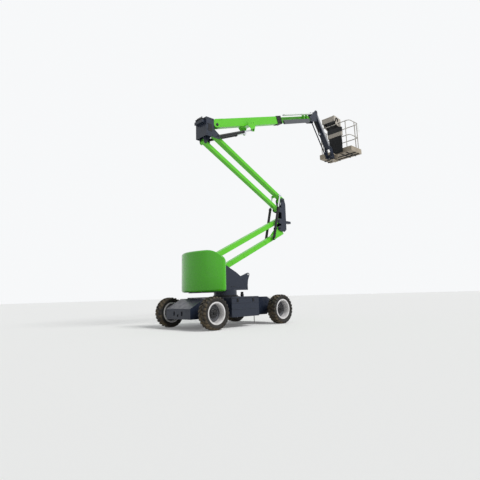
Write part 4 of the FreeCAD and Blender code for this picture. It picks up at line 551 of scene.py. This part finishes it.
def make_battery_box_details():
    """Bolts, two latches and the lid's strip on each battery box."""
    low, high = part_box("battery_boxes")
    lid = high.z - LID_DROP
    trim = Build()
    for out in SIDES:
        face = out * (high.y - 0.008)
        for x in (low.x + BOX_BOLT_INSET, (low.x + high.x) / 2, high.x - BOX_BOLT_INSET):
            for z in (low.z + BOX_BOLT_INSET, high.z - BOX_BOLT_INSET):
                trim.bolt(facing((x, face, z), (0, out, 0)), PLATE_BOLT)
        for x in (low.x + LATCH_INSET, high.x - LATCH_INSET):
            latch = facing((x, face, high.z - 0.10), (0, out, 0))
            pad(trim, latch, (-0.028, -0.045, 0), (0.028, 0.045, 0.012), 0.006)
            lock = latch @ Matrix.Translation((0, 0.012, 0.012))
            trim.lathe(lock, ((0, 0.014), (0.006, 0.014), (0.007, 0.01)), 20)
        middle = face + out * 0.0005
        pad(trim, HERE, (low.x + 0.012, middle - 0.0035, lid),
            (high.x - 0.012, middle + 0.0035, lid + 0.007), 0.001)
    trim.piece("battery_box_latches", "chassis", bevel=BROAD_EDGE)


def make_chassis_details():
    """Bolts and beads round the slew ring, the slewing motor, and bolts on the frame's ends and flanks."""
    low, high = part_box("slew_ring")
    radius = high.x
    foot = Matrix.Translation((0, 0, low.z))
    bolts = Build()
    for turn in spokes(RING_BOLTS, 0.5):
        bolts.bolt(facing(polar(radius + 0.014, turn, low.z), (0, 0, 1), turn), FRAME_BOLT, 0.9)
    bolts.lathe(foot, ((0.0, radius + 0.034), (0.004, radius + 0.036), (0.004, radius - 0.004),
                       (0.0, radius - 0.004)), 96, closed=True)
    for level in (0.022, 0.05):
        bolts.torus(foot @ Matrix.Translation((0, 0, level)), radius + 0.001, 0.0032, 96)
    bolts.piece("slew_ring_bolts", "chassis", bevel=EDGE)

    motor = Build()
    place = Matrix.Translation((*MOTOR_PLACE, low.z))
    motor.lathe(place, MOTOR_FORM, 40)
    for turn in spokes(MOTOR_BOLTS):
        motor.bolt(place @ Matrix.Translation(polar(0.056, turn, 0.012)), 0.006, 0.9)
    motor.piece("slew_motor", "chassis", bevel=BROAD_EDGE)

    low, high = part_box("chassis_frame")
    ends = Build()
    for along, face in ((-1, low.x), (1, high.x)):
        for y, z in END_BOLTS:
            ends.bolt(facing((face, y, z), (along, 0, 0)), FRAME_BOLT, LOW_HEAD)
    side_bolts(ends, HERE, FLANK_BOLTS, high.y, FRAME_BOLT, LOW_HEAD, straight=True)
    ends.piece("chassis_bolts", "chassis", "slate", bevel=EDGE)


def make_axle_details():
    """A circle of bolts and a bead on the gearbox of each driven wheel."""
    centre = PIVOT["roll_front_left"]
    gears = Build()
    for out in SIDES:
        for turn in spokes(GEAR_BOLTS):
            gears.bolt(facing(beside(centre, GEAR_CIRCLE, turn, out * 0.83), (0, -out, 0), turn), 0.008, 0.7)
        gears.torus(facing((centre.x, out * 0.866, centre.z), (0, out, 0)), 0.15, 0.004)
    gears.piece("gearbox_bolts", "chassis", bevel=EDGE)


# Turntable

CHEEK_FACE = 0.30
CHEEK_BOLTS = ((0.522, 1.18), (0.453, 1.304), (0.60, 1.06), (0.60, 1.12), (-0.02, 1.10), (0.05, 1.10),
               (0.12, 1.10), (-0.58, 1.12), (-0.58, 1.22), (-0.58, 1.32))
# columns: x, radius
CHEEK_PORTS = ((0.26, 0.024), (0.33, 0.014))
PORT_HEIGHT = 1.067
LASHING_EYE = (0.682, 1.465)
KNOB_FORM = ((0, 0.011), (0.004, 0.011), (0.005, 0.006), (0.02, 0.0045), (0.022, 0.002))


def make_turntable_details():
    """Bolts, keepers and ports on the cheeks, and the ground controls' panel with its knobs."""
    bolts = Build()
    side_bolts(bolts, HERE, CHEEK_BOLTS, CHEEK_FACE, FRAME_BOLT)
    for joint in ("tower_raise", "lower_link_turn"):
        joint_keeper(bolts, joint, CHEEK_FACE + 0.012, 0.05, 0.005)
    bolts.piece("turret_bolts", "turntable", bevel=EDGE)

    plates = Build()
    for out in SIDES:
        for x, radius in CHEEK_PORTS:
            form = ((0, radius + 0.01), (0.004, radius + 0.01), (0.004, radius), (0.001, radius - 0.001))
            plates.lathe(facing((x, out * CHEEK_FACE, PORT_HEIGHT), (0, out, 0)), form, 28)
        x, z = LASHING_EYE
        plates.torus(facing((x, out * (CHEEK_FACE + 0.001), z), (0, out, 0)), 0.0355, 0.0045, 48)
    plates.piece("turret_port_rings", "turntable", "slate", bevel=PIN_EDGE)

    low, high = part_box("ground_controls")
    face = high.y + 0.006
    panel = Build()
    pad(panel, HERE, (low.x + 0.02, high.y, low.z + 0.03), (high.x - 0.02, face, high.z - 0.03), 0.003)
    for row in range(3):
        for column in range(4):
            knob = facing((low.x + 0.065 + column * 0.056, face, high.z - 0.10 - row * 0.075), (0, 1, 0))
            panel.lathe(knob, KNOB_FORM, 14)
    panel.piece("ground_control_panel", "turntable", bevel=BROAD_EDGE)


TAIL_CORNER = 0.085
TAIL_INSET = 0.062  # of the rounded lower and upper edges
NOTCH_STEPS, SIDE_STEPS, CORNER_STEPS, EDGE_STEPS = 10, 10, 10, 6


def tail_plan(radius, front, inset, notch_rear, notch_half):
    """Half of the tail's plan from the rear to the front, and the notch's wall beside it."""
    middle_x = front - TAIL_CORNER
    middle_y = math.sqrt((radius - TAIL_CORNER) ** 2 - middle_x ** 2)
    limit = math.atan2(middle_y, -middle_x)
    first = math.acos(-notch_rear / (radius - TAIL_INSET))
    turns = [first * step / NOTCH_STEPS for step in range(NOTCH_STEPS)]
    turns += [first + (limit - first) * step / SIDE_STEPS for step in range(SIDE_STEPS + 1)]
    reach = radius - inset
    outer = [Vector((-reach * math.cos(turn), reach * math.sin(turn))) for turn in turns]
    for step in range(1, CORNER_STEPS + 1):
        turn = limit + (math.pi - limit) * step / CORNER_STEPS
        outer.append(Vector((middle_x - (TAIL_CORNER - inset) * math.cos(turn),
                             middle_y + (TAIL_CORNER - inset) * math.sin(turn))))
    return outer, [Vector((point.x, notch_half)) for point in outer[NOTCH_STEPS:]]


def tail_solid(name, finish, top, low, radius, front, notch_rear, notch_half):
    """A solid with the tail's plan, rounded lower and upper edges, and a notch for the turret's cheeks."""
    _, last_wall = tail_plan(radius, front, TAIL_INSET, notch_rear, notch_half)
    levels = [(step, False) for step in range(EDGE_STEPS + 1)]
    levels += [(step, True) for step in range(EDGE_STEPS, -1, -1)]
    rings = []
    for step, upper in levels:
        turn = math.pi / 2 * (1 - step / EDGE_STEPS)
        inset = TAIL_INSET * (1 - math.cos(turn))
        sink = TAIL_INSET * (1 - math.sin(turn))
        outer, _ = tail_plan(radius, front, inset, notch_rear, notch_half)
        wall = last_wall[:-1] + [Vector((front - inset, notch_half))]
        half = list(outer) + list(reversed(wall))
        plan = half + [Vector((point.x, -point.y)) for point in reversed(half[1:])]
        rings.append([Vector((point.x, point.y, top(point.x) - sink if upper else low + sink))
                      for point in plan])
    build = Build()
    made = build.loft(rings, capped=False)
    last = len(outer) - 1
    bend = len(outer) - len(wall)
    for ring in (made[0], made[-1]):
        left, right = ([ring[side * step] for step in range(last + 1)] for side in SIDES)
        left_wall, right_wall = ({step: ring[side * (2 * last + 1 - step)] for step in range(bend, last + 1)}
                                 for side in SIDES)
        caps = [(left[0], left[1], right[1])]
        caps += [(left[step], left[step + 1], right[step + 1], right[step]) for step in range(1, bend - 1)]
        caps.append((left[bend - 1], left[bend], left_wall[bend], right_wall[bend], right[bend],
                     right[bend - 1]))
        for edge, inner in ((left, left_wall), (right, right_wall)):
            caps += [(edge[step], edge[step + 1], inner[step + 1], inner[step]) for step in range(bend, last)]
        for cap in caps:
            build.mesh.faces.new(cap)
    return build.piece(name, "turntable", finish, smooth=38)


def cover_top(x):
    """The cover's top: level behind, falling to the front, with a soft brow between."""
    level, fall = 2.09, 1.80 + (-0.74 - x) * 0.29 / 0.31
    blend = max(0.07 - abs(level - fall), 0.0) / 0.07
    return min(level, fall) - blend * blend * 0.0175


def make_tail_details():
    """The moulded cover with soft edges, and the casting whose underside shows below it."""
    cover = tail_solid("moulded_cover", "cover_green", cover_top, low=0.966, radius=1.28, front=-0.74,
                       notch_rear=-1.10, notch_half=0.34)
    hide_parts("tail_cover")
    weight = tail_solid("weight_casting", "iron", lambda x: 1.74, low=0.9605, radius=1.262, front=-0.865,
                        notch_rear=-1.115, notch_half=0.355)
    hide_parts("counterweight")


# Tower

KNEE_FACE = 0.127
KNEE_BOLTS = [(0.30, up) for up in (0.10, 0.34, 0.58, 0.82)]
STRAP_HALF, STRAP_THICK = 0.016, 0.0035
# columns: piece, frame, body, straps along the arm, half the arm's width, its underside and top
STRAPS = (("lower_arm_straps", LOWER, "tower_lower_arm", (0.55, 1.1, 1.65, 2.2, 2.75), 0.08, -0.26, -0.11),
          ("upper_arm_straps", UPPER, "tower_upper_arm", (0.7, 1.35, 2.0, 2.65), 0.09, 0.0355, 0.1405))
TOWER_RAMS = 0.185  # each ram's distance from the middle
PIPE_RADIUS, PIPE_LENGTH = 0.006, 0.74


def make_tower_details():
    """Keepers on the knee's pins, straps round the arms, and rings and a pipe on each tower ram."""
    knee = Build()
    for joint in ("knee_level", "upper_link_turn", "upper_arm_turn"):
        joint_keeper(knee, joint, KNEE_FACE, 0.036, 0.001)
    link = PIVOT["knee_level"] + PIVOT["lower_link_turn"] - PIVOT["tower_raise"]
    keeper(knee, HERE, link.x, link.z, KNEE_FACE, 0.036, 0.001)
    side_bolts(knee, KNEE, KNEE_BOLTS, 0.115, PLATE_BOLT, 0.35)
    knee.piece("knee_keepers", "knee", bevel=PIN_EDGE)

    for name, place, body, spots, half, low, high in STRAPS:
        straps = Build()
        for along in spots:
            for start, end in ((-half - STRAP_THICK, -half + 0.002), (half - 0.002, half + STRAP_THICK)):
                pad(straps, place, (along - STRAP_HALF, start, low + 0.012),
                    (along + STRAP_HALF, end, high - 0.012), 0.001)
            side_bolts(straps, place, [(along, (low + high) / 2)], half + STRAP_THICK, SMALL_BOLT, LOW_HEAD,
                       straight=True)
        straps.piece(name, body, "green", bevel=PIN_EDGE)

    glands = Build()
    ram_rings(glands, "tower_ram", TOWER_RAMS, ((1.128, 0.002), (1.09, 0.002), (0.06, 0.003)))
    start = PIVOT["tower_ram_turn"]
    along = Vector(JOINTS["tower_ram_slide"]["axis"])
    for out in SIDES:
        pipe = facing(start + along * 0.16 + Vector((0, out * (TOWER_RAMS - 0.049), 0)), along)
        glands.lathe(pipe, ((0, PIPE_RADIUS), (PIPE_LENGTH, PIPE_RADIUS)), 10)
    glands.piece("tower_ram_rings", "tower_barrels", bevel=FINE_EDGE)


HEAD_FACE = 0.26
HEAD_BOLTS = ((-0.045, 0.19), (-0.045, 0.34), (-0.045, 0.52), (-0.045, 0.69), (0.16, 0.69), (0.06, 0.69),
              (0.16, 0.20), (0.30, 0.19))
VALVE_LOW, VALVE_HIGH = Vector((-0.185, -0.15, 0.655)), Vector((-0.095, 0.15, 0.72))
SPOOLS, SPOOL_PITCH = 5, 0.0575


def make_head_details():
    """Bolts and cover plates on the top knuckle, and the valve block on top of it."""
    head = Build()
    side_bolts(head, HEAD, HEAD_BOLTS, HEAD_FACE, FRAME_BOLT)
    for out in SIDES:
        cover = facing(HEAD @ Vector((0.06, out * HEAD_FACE, 0.42)), (0, out, 0))
        pad(head, cover, (-0.07, -0.12, 0), (0.07, 0.12, 0.006), 0.003)
    joint_keeper(head, "boom_ram_turn", HEAD_FACE + 0.012, 0.034, 0.004)
    head.piece("head_bolts", "head", bevel=EDGE)

    valves = Build()
    pad(valves, HEAD, VALVE_LOW, VALVE_HIGH)
    for number in range(SPOOLS):
        y = SPOOL_PITCH * (number - (SPOOLS - 1) / 2)
        spool = HEAD @ Matrix.Translation((-0.14, y, VALVE_HIGH.z))
        valves.lathe(spool, ((0, 0.017), (0.012, 0.017), (0.014, 0.012), (0.05, 0.012), (0.053, 0.008)), 20)
        port = facing(HEAD @ Vector((VALVE_LOW.x, y, 0.688)), (-1, 0, 0))
        valves.lathe(port, ((0, 0.012), (0.01, 0.012)), 6)
        valves.lathe(port, ((0.01, 0.009), (0.03, 0.009), (0.032, 0.006)), 16)
    valves.piece("head_valves", "head", bevel=BROAD_EDGE)


# Booms

BOOM_ALONG, BOOM_UP = BOOM.to_3x3() @ Vector((1, 0, 0)), BOOM.to_3x3() @ Vector((0, 0, 1))
ROOT_BOLTS = ((-0.075, 0.10), (-0.075, 0.0), (0.26, -0.05), (0.26, 0.14), (0.15, 0.14), (0.15, -0.05))
COLLAR_BOLTS = [(along, up) for along in (3.09, 3.15, 3.21) for up in (-0.04, 0.045, 0.13)]
COLLAR_LID_BOLTS = [(along, across) for across in (-0.06, 0.0, 0.06) for along in (3.10, 3.20)]
COLLAR_BOLT = 0.0095
# The lip in front of the collar: its start and end along the boom, and its (across, up) corners
LIP_START, LIP_END = 3.302, 3.312
LIP_OUTER = ((-0.118, -0.110), (0.118, -0.110), (0.118, 0.2), (-0.118, 0.2))
LIP_INNER = ((-0.081, -0.061), (0.081, -0.061), (0.081, 0.151), (-0.081, 0.151))
EAR_PIN = (1.48, -0.285)
EAR_BOLTS = [(along, -0.05) for along in (1.34, 1.46, 1.58)]
FLY_BRACKET_BOLTS = [(along, up) for along in (4.755, 4.975) for up in (-0.09, -0.03, 0.12, 0.19)]
HOSE_COVER_BOLTS = (3.6, 4.1, 4.6, 5.1)


def make_boom_details():
    """Keepers, root and collar bolts, the lip in front of the collar, and rings on the boom rams."""
    boom = Build()
    keeper(boom, BOOM, 0, 0, 0.124, 0.046)
    boom.piece("boom_pin_keepers", "head", bevel=PIN_EDGE)

    root = Build()
    side_bolts(root, BOOM, ROOT_BOLTS, 0.112, PLATE_BOLT)
    root.piece("boom_root_bolts", "boom", "green", bevel=PIN_EDGE)

    collar = Build()
    side_bolts(collar, BOOM, COLLAR_BOLTS, 0.114, COLLAR_BOLT, 0.8, straight=True)
    for along, across in COLLAR_LID_BOLTS:
        for up, way in ((0.1967, BOOM_UP), (-0.1067, -BOOM_UP)):
            collar.bolt(facing(BOOM @ Vector((along, across, up)), way), COLLAR_BOLT, 0.8)
    collar.loft([[BOOM @ Vector((along, across, up)) for across, up in shape]
                 for along, shape in ((LIP_START, LIP_INNER), (LIP_START, LIP_OUTER),
                                      (LIP_END, LIP_OUTER), (LIP_END, LIP_INNER))], closed=True)
    collar.piece("collar_pads", "boom", bevel=EDGE)

    ears = Build()
    keeper(ears, BOOM, *EAR_PIN, 0.244, 0.036)
    side_bolts(ears, BOOM, EAR_BOLTS, 0.232, 0.010)
    ears.piece("boom_ear_keepers", "boom", bevel=PIN_EDGE)

    fly = Build()
    for along, up in FLY_BRACKET_BOLTS:
        fly.bolt(facing(BOOM @ Vector((along + 0.025, -0.1105, up)), BOOM_ALONG), SMALL_BOLT)
    for along in HOSE_COVER_BOLTS:
        fly.bolt(facing(BOOM @ Vector((along, -0.2, 0.21)), BOOM_UP), 0.006, 0.4)
    fly.piece("fly_brackets_bolts", "fly", bevel=FINE_EDGE)

    rings = Build()
    ram_rings(rings, "boom_ram", 0.18, ((1.238, 0.004), (1.20, 0.003), (0.06, 0.003)))
    rings.piece("boom_ram_rings", "boom_barrels", bevel=FINE_EDGE)


# Jib

JIB_BOLTS = [(along, 0.0) for along in (0.16, 0.5, 1.12, 1.44)]
ROTATOR_BOLTS = 10
# Outline of a thin light grey plate on the jib's near face: painted light on that lit face
JIB_LIT_FACE = ((0.10, -0.05), (0.11, -0.058), (1.49, -0.058), (1.50, -0.05), (1.50, 0.05), (1.49, 0.058),
             (0.11, 0.058), (0.10, 0.05))


def make_jib_details():
    """Keepers on the jib's pins, bolts on its arm, a light grey plate of painted light on its lit near face, and
    the rotator's beads and bolts.
    """
    base = Build()
    joint_keeper(base, "jib_raise", 0.148, 0.032, 0.003)
    keeper(base, BASE, 0, 0, 0.14, 0.034, 0.0035)
    joint_keeper(base, "jib_ram_turn", 0.14, 0.03, 0.0035)
    base.piece("jib_base_keepers", "jib_root", bevel=FINE_EDGE)

    arm = Build()
    side_bolts(arm, JIB, JIB_BOLTS, 0.11, PLATE_BOLT, LOW_HEAD, straight=True)
    arm.piece("jib_arm_bolts", "jib", bevel=FINE_EDGE)
    # The light grey plate is painted light on the jib's near, lit face.
    cover = Build()
    cover.prism(JIB, JIB_LIT_FACE, -0.1125, -0.1095)
    cover.piece("jib_arm_painted_lit_face", "jib", "lit_face_paint", "grey", bevel=BROAD_EDGE)

    bracket = Build()
    keeper(bracket, BRACKET, 0, 0, 0.148, 0.032, 0.003)
    axis = Matrix.Translation((PIVOT["platform_turn"].x, 0, PIVOT["platform_turn"].z))
    for level in (0.012, 0.208):
        bracket.torus(axis @ Matrix.Translation((0, 0, level)), 0.096, 0.005)
    for turn in spokes(ROTATOR_BOLTS):
        bracket.bolt(facing(axis @ polar(0.0945, turn, 0.11), polar(1, turn)), 0.008, 0.4)
    bracket.piece("rotator_bolts", "bracket", bevel=FINE_EDGE)


# Platform

FLOOR_LOW, FLOOR_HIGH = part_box("platform_floor")
RAIL_LOW, RAIL_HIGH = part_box("platform_rails")
BAG_LOW, BAG_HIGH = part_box("tool_bag")
CONSOLE_LOW, CONSOLE_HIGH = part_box("control_console")
CONSOLE_REAR = CONSOLE_LOW.x + 0.006
FLOOR_BOTTOM = BAG_LOW.z - 0.02
DECK_REAR = RAIL_LOW.x - 0.006
CROSS_BEARERS, TOE_BOLTS = (0.34, 0.60), (0.12, 0.40, 0.68)  # from the deck's rear
LONG_BEARERS = (-0.52, -0.26, 0.26, 0.52)
POST_INSET, POST_SIDE = 0.018, 0.59
GATE_INSET = 0.17
MIDDLE_POST = 0.69  # in front of the platform's turning axis
POSTS = [(x, y) for x in (RAIL_LOW.x + POST_INSET, RAIL_HIGH.x - POST_INSET) for y in (-POST_SIDE, POST_SIDE)]
POSTS += [(x, RAIL_HIGH.y - POST_INSET) for x in (RAIL_LOW.x + GATE_INSET, RAIL_HIGH.x - GATE_INSET)]
POSTS += [(x, RAIL_LOW.y + POST_INSET)
          for x in (PIVOT["platform_turn"].x + MIDDLE_POST, RAIL_HIGH.x - GATE_INSET)]


def make_platform_details():
    """Bearers under the floor, clamps on the posts, bolts on the toe boards and a blank plate."""
    under = Build()
    for x in (DECK_REAR + along for along in CROSS_BEARERS):
        pad(under, HERE, (x - 0.02, FLOOR_LOW.y + 0.01, FLOOR_BOTTOM - 0.035),
            (x + 0.02, FLOOR_HIGH.y - 0.01, FLOOR_BOTTOM + 0.001), 0.003)
    for y in LONG_BEARERS:
        pad(under, HERE, (DECK_REAR + 0.02, y - 0.018, FLOOR_BOTTOM - 0.028),
            (FLOOR_HIGH.x - 0.02, y + 0.018, FLOOR_BOTTOM + 0.001), 0.003)
    under.piece("platform_bearers", "platform", bevel=BROAD_EDGE)

    clamps = Build()
    for x, y in POSTS:
        clamps.lathe(Matrix.Translation((x, y, RAIL_HIGH.z - 0.066)),
                     ((0, 0.0215), (0.03, 0.0215), (0.03, 0.0185), (0, 0.0185)), 28, closed=True)
    clamps.piece("rail_clamps", "platform", "rail", bevel=EDGE)

    toe_bolts = Build()
    side_bolts(toe_bolts, HERE, [(DECK_REAR + along, FLOOR_BOTTOM + 0.15) for along in TOE_BOLTS],
               FLOOR_HIGH.y, SMALL_BOLT, LOW_HEAD, straight=True)
    toe_bolts.piece("toe_board_bolts", "platform", "rail", bevel=FINE_EDGE)

    plate = Build()
    spot = Matrix.Translation((FLOOR_HIGH.x - 0.094, FLOOR_LOW.y + 0.003, RAIL_HIGH.z - 0.405))
    pad(plate, spot, (-0.075, 0, 0), (0.075, 0.003, 0.33), 0.001)
    plate.piece("blank_plate", "platform", "tray", bevel=BROAD_EDGE)


STICK_FORM = ((0, 0.034), (0.006, 0.032), (0.012, 0.02), (0.018, 0.016), (0.024, 0.009), (0.042, 0.009),
              (0.045, 0.006))
BUTTON_FORM = ((0, 0.010), (0.003, 0.010), (0.004, 0.006), (0.009, 0.0045), (0.0105, 0.002))
STOP_FORM = ((0, 0.018), (0.01, 0.018), (0.012, 0.024), (0.017, 0.025), (0.021, 0.018), (0.023, 0.006))
PANEL_THICK = 0.006
# The handle on the console's right: its bow's radius and steps, its bar's radius, and how far it stands off
BOW_RADIUS, BOW_STEPS, BOW_BAR, BOW_REACH = 0.085, 24, 0.017, 0.022


def make_console_details():
    """The sloping panel with two sticks, buttons and a stop button, the handle and screws."""
    left = CONSOLE_HIGH.y - 0.013
    right = CONSOLE_LOW.y + 0.013
    top = CONSOLE_HIGH.z - 0.012
    place = slanted(Vector((CONSOLE_REAR + 0.07, 0, top)), Vector((CONSOLE_REAR + 0.49, 0, top - 0.058)))
    panel = Build()
    pad(panel, place, (0.01, right + 0.02, 0), (0.40, left - 0.02, PANEL_THICK), 0.003)
    for y in (0.02, 0.34):
        panel.lathe(place @ Matrix.Translation((0.34, y, PANEL_THICK)), STICK_FORM, 28)
    for row in range(2):
        for column in range(7):
            spot = place @ Matrix.Translation((0.07 + 0.07 * row, -0.03 + 0.07 * column, PANEL_THICK))
            panel.lathe(spot, BUTTON_FORM, 12)
    panel.piece("console_panel", "platform", bevel=EDGE)

    stop = Build()
    stop.lathe(place @ Matrix.Translation((0.25, 0.18, PANEL_THICK)), STOP_FORM, 28)
    stop.piece("console_stop_button", "platform", "red", "", bevel=FINE_EDGE)

    handle = Build()
    centre = Vector((CONSOLE_REAR + 0.17, CONSOLE_LOW.y, top - 0.17))
    rings = []
    for step in range(BOW_STEPS + 1):
        turn = math.radians(-150 + 300 * step / BOW_STEPS)
        outward = Vector((math.sin(turn), 0, math.cos(turn)))
        reach = BOW_REACH * min(1.0, min(step, BOW_STEPS - step) / 3)
        middle = centre + outward * BOW_RADIUS - Vector((0, reach, 0))
        rings.append([middle + outward * BOW_BAR * math.cos(bend) - Vector((0, BOW_BAR * math.sin(bend), 0))
                      for bend in spokes(12)])
    handle.loft(rings)
    handle.piece("console_handle", "platform", smooth=60)

    trim = Build()
    for y in (right + 0.05, (left + right) / 2, left - 0.05):
        for z in (top - 0.03, top - 0.2):
            trim.bolt(facing((CONSOLE_REAR, y, z), (-1, 0, 0)), SMALL_BOLT, LOW_HEAD)
    trim.piece("console_trim", "platform", bevel=PIN_EDGE)


DARK_BOX_HEIGHT = 0.21


def make_console_box():
    """The dark box below the rail on its two hangers, and a black sheet under the console that paints the shade of
    its underside.
    """
    low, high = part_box("console_shroud")
    top = low.z + DARK_BOX_HEIGHT
    box = Build()
    pad(box, HERE, low, (high.x, high.y, top), 0.006)
    pad(box, HERE, (low.x - 0.001, low.y + 0.03, low.z + 0.12),
        (low.x + 0.004, high.y - 0.03, low.z + 0.134), 0.002)
    for y in (low.y + 0.14, high.y - 0.14):
        pad(box, HERE, (high.x - 0.006, y - 0.02, top - 0.02), (high.x, y + 0.02, high.z - 0.13), 0.001)
    made = box.piece("console_box", "platform", bevel=0.003)
    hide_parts("console_shroud")
    # A black sheet under the console's underside: painted shade.
    front, base = CONSOLE_HIGH.x - 0.014, CONSOLE_HIGH.z - 0.372
    outline = [(x, base + up) for x, up in (
        (CONSOLE_REAR + 0.004, 0.125), (CONSOLE_REAR + 0.2, 0.125), (front, -0.085),
        (front, -0.09), (CONSOLE_REAR + 0.2, 0.12), (CONSOLE_REAR + 0.004, 0.12))]
    painted_shade = Build()
    painted_shade.prism(HERE, outline, CONSOLE_LOW.y + 0.016, CONSOLE_HIGH.y - 0.016)
    painted_shade.piece("console_painted_shade", "platform")


BAG_ROWS, BAG_COLUMNS = 36, 80


def make_bag():
    """A soft bag: thin at its hem, full below, with sagging folds on its faces."""
    low, high = BAG_LOW, BAG_HIGH
    middle_x, middle_y = (low.x + high.x) / 2, (low.y + high.y) / 2
    half_x, half_y = (high.x - low.x) / 2 - 0.004, (high.y - low.y) / 2 - 0.006
    rings = []
    for row in range(BAG_ROWS + 1):
        share = row / BAG_ROWS
        height = low.z + 0.004 + (high.z - low.z - 0.006) * share
        fullness = 0.34 + 0.66 * math.sin(math.pi * min(1.0, (1 - share) * 0.62 + 0.18)) ** 1.4
        bottom = math.sqrt(1 - (1 - min(1.0, share / 0.07)) ** 2)
        ring = []
        for turn in spokes(BAG_COLUMNS):
            across = math.copysign(abs(math.cos(turn)) ** 0.32, math.cos(turn))
            depth = math.copysign(abs(math.sin(turn)) ** 0.75, math.sin(turn))
            fold = 0.10 * math.sin(across * 7.3 + 4.0 * share) * math.sin(math.pi * share)
            fold += 0.06 * math.sin(across * 17 - 9 * share)
            swell = 0.975 + 0.02 * math.sin(6 * share + 2.0 * across)
            x = middle_x + depth * half_x * fullness * (0.88 + fold) * (0.35 + 0.65 * bottom)
            y = middle_y + across * half_y * swell * (0.93 + 0.07 * bottom)
            sag = 0.012 * math.cos(across * 3.1) * share ** 6
            ring.append(Vector((max(low.x + 0.001, min(high.x - 0.001, x)), y, height - sag)))
        rings.append(ring)
    bag = Build()
    bag.loft(rings)
    made = bag.piece("tool_bag_cloth", "platform", "fabric", smooth=60)
    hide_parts("tool_bag")
    hem = Build()
    for y in (low.y + 0.06, middle_y - 0.1, middle_y + 0.12, high.y - 0.06):
        pad(hem, HERE, (low.x + 0.018, y - 0.016, high.z - 0.14),
            (low.x + 0.022, y + 0.016, high.z + 0.11), 0.001)
    hem.piece("tool_bag_straps", "platform", "fabric", bevel=PIN_EDGE)


for corner in CORNERS:
    make_tyre(corner)
    make_wheel_hub(corner)
make_battery_box_details()
make_chassis_details()
make_axle_details()
make_turntable_details()
make_tail_details()
make_tower_details()
make_head_details()
make_boom_details()
make_jib_details()
make_platform_details()
make_console_details()
make_console_box()
make_bag()


# Floor, light and view

FLOOR_REACH, FLOOR_SIDES = 120.0, 180
FLOOR_GLOW = 0.14  # on rays that show the background, so that the floor is pale and lights nothing
SKY_LIGHT, SKY_SHOWN = 0.3, 1.0


def make_floor():
    mesh = bpy.data.meshes.new("floor")
    points = [polar(FLOOR_REACH, turn) for turn in spokes(FLOOR_SIDES)]
    mesh.from_pydata(points, [], [list(range(FLOOR_SIDES))])
    floor = bpy.data.objects.new("floor", mesh)
    scene.collection.objects.link(floor)
    shader = Shader("floor_pale")
    shader.finish(linear((226, 226, 224)), 0.9, specular=0.1)
    glow = shining(shader.add("ShaderNodeEmission"), (1, 1, 1), FLOOR_GLOW)
    both = shader.add("ShaderNodeAddShader")
    shader.link(shader.surface.outputs[0], both.inputs[0])
    shader.link(glow.outputs[0], both.inputs[1])
    show_apart(shader.tree, shader.surface, both, "Material Output")
    mesh.materials.append(shader.material)


def shining(node, colour, strength):
    node.inputs["Color"].default_value = (*colour, 1)
    node.inputs["Strength"].default_value = strength
    return node


def show_apart(tree, lighting, shown, output):
    """Rays that show the background, straight, mirrored or through glass, meet a shader of their own."""
    path = tree.nodes.new("ShaderNodeLightPath")
    total = path.outputs["Is Camera Ray"]
    for name in ("Is Glossy Ray", "Is Transmission Ray"):
        node = tree.nodes.new("ShaderNodeMath")
        node.operation = "MAXIMUM"
        tree.links.new(total, node.inputs[0])
        tree.links.new(path.outputs[name], node.inputs[1])
        total = node.outputs[0]
    chosen = tree.nodes.new("ShaderNodeMixShader")
    for number, source in enumerate((total, lighting.outputs[0], shown.outputs[0])):
        tree.links.new(source, chosen.inputs[number])
    tree.links.new(chosen.outputs[0], tree.nodes[output].inputs["Surface"])


def make_world():
    world = bpy.data.worlds.new("studio")
    world.use_nodes = True
    scene.world = world
    tree = world.node_tree
    light = shining(tree.nodes["Background"], (0.93, 0.96, 1.0), SKY_LIGHT)
    shown = shining(tree.nodes.new("ShaderNodeBackground"), (0.93, 0.94, 0.95), SKY_SHOWN)
    show_apart(tree, light, shown, "World Output")


def make_sun(name, toward, energy, angle):
    """A soft light that comes from the direction toward."""
    data = bpy.data.lights.new(name, "SUN")
    data.energy = energy
    data.angle = math.radians(angle)
    sun = bpy.data.objects.new(name, data)
    sun.rotation_mode = "QUATERNION"
    sun.rotation_quaternion = Vector(toward).to_track_quat("Z", "Y")
    scene.collection.objects.link(sun)


make_camera()
make_floor()
make_world()
make_sun("key", (0.25, -0.85, 0.9), 2.5, 22)
make_sun("fill", (-0.9, -0.5, 0.35), 0.2, 60)
scene.view_settings.view_transform = "Standard"
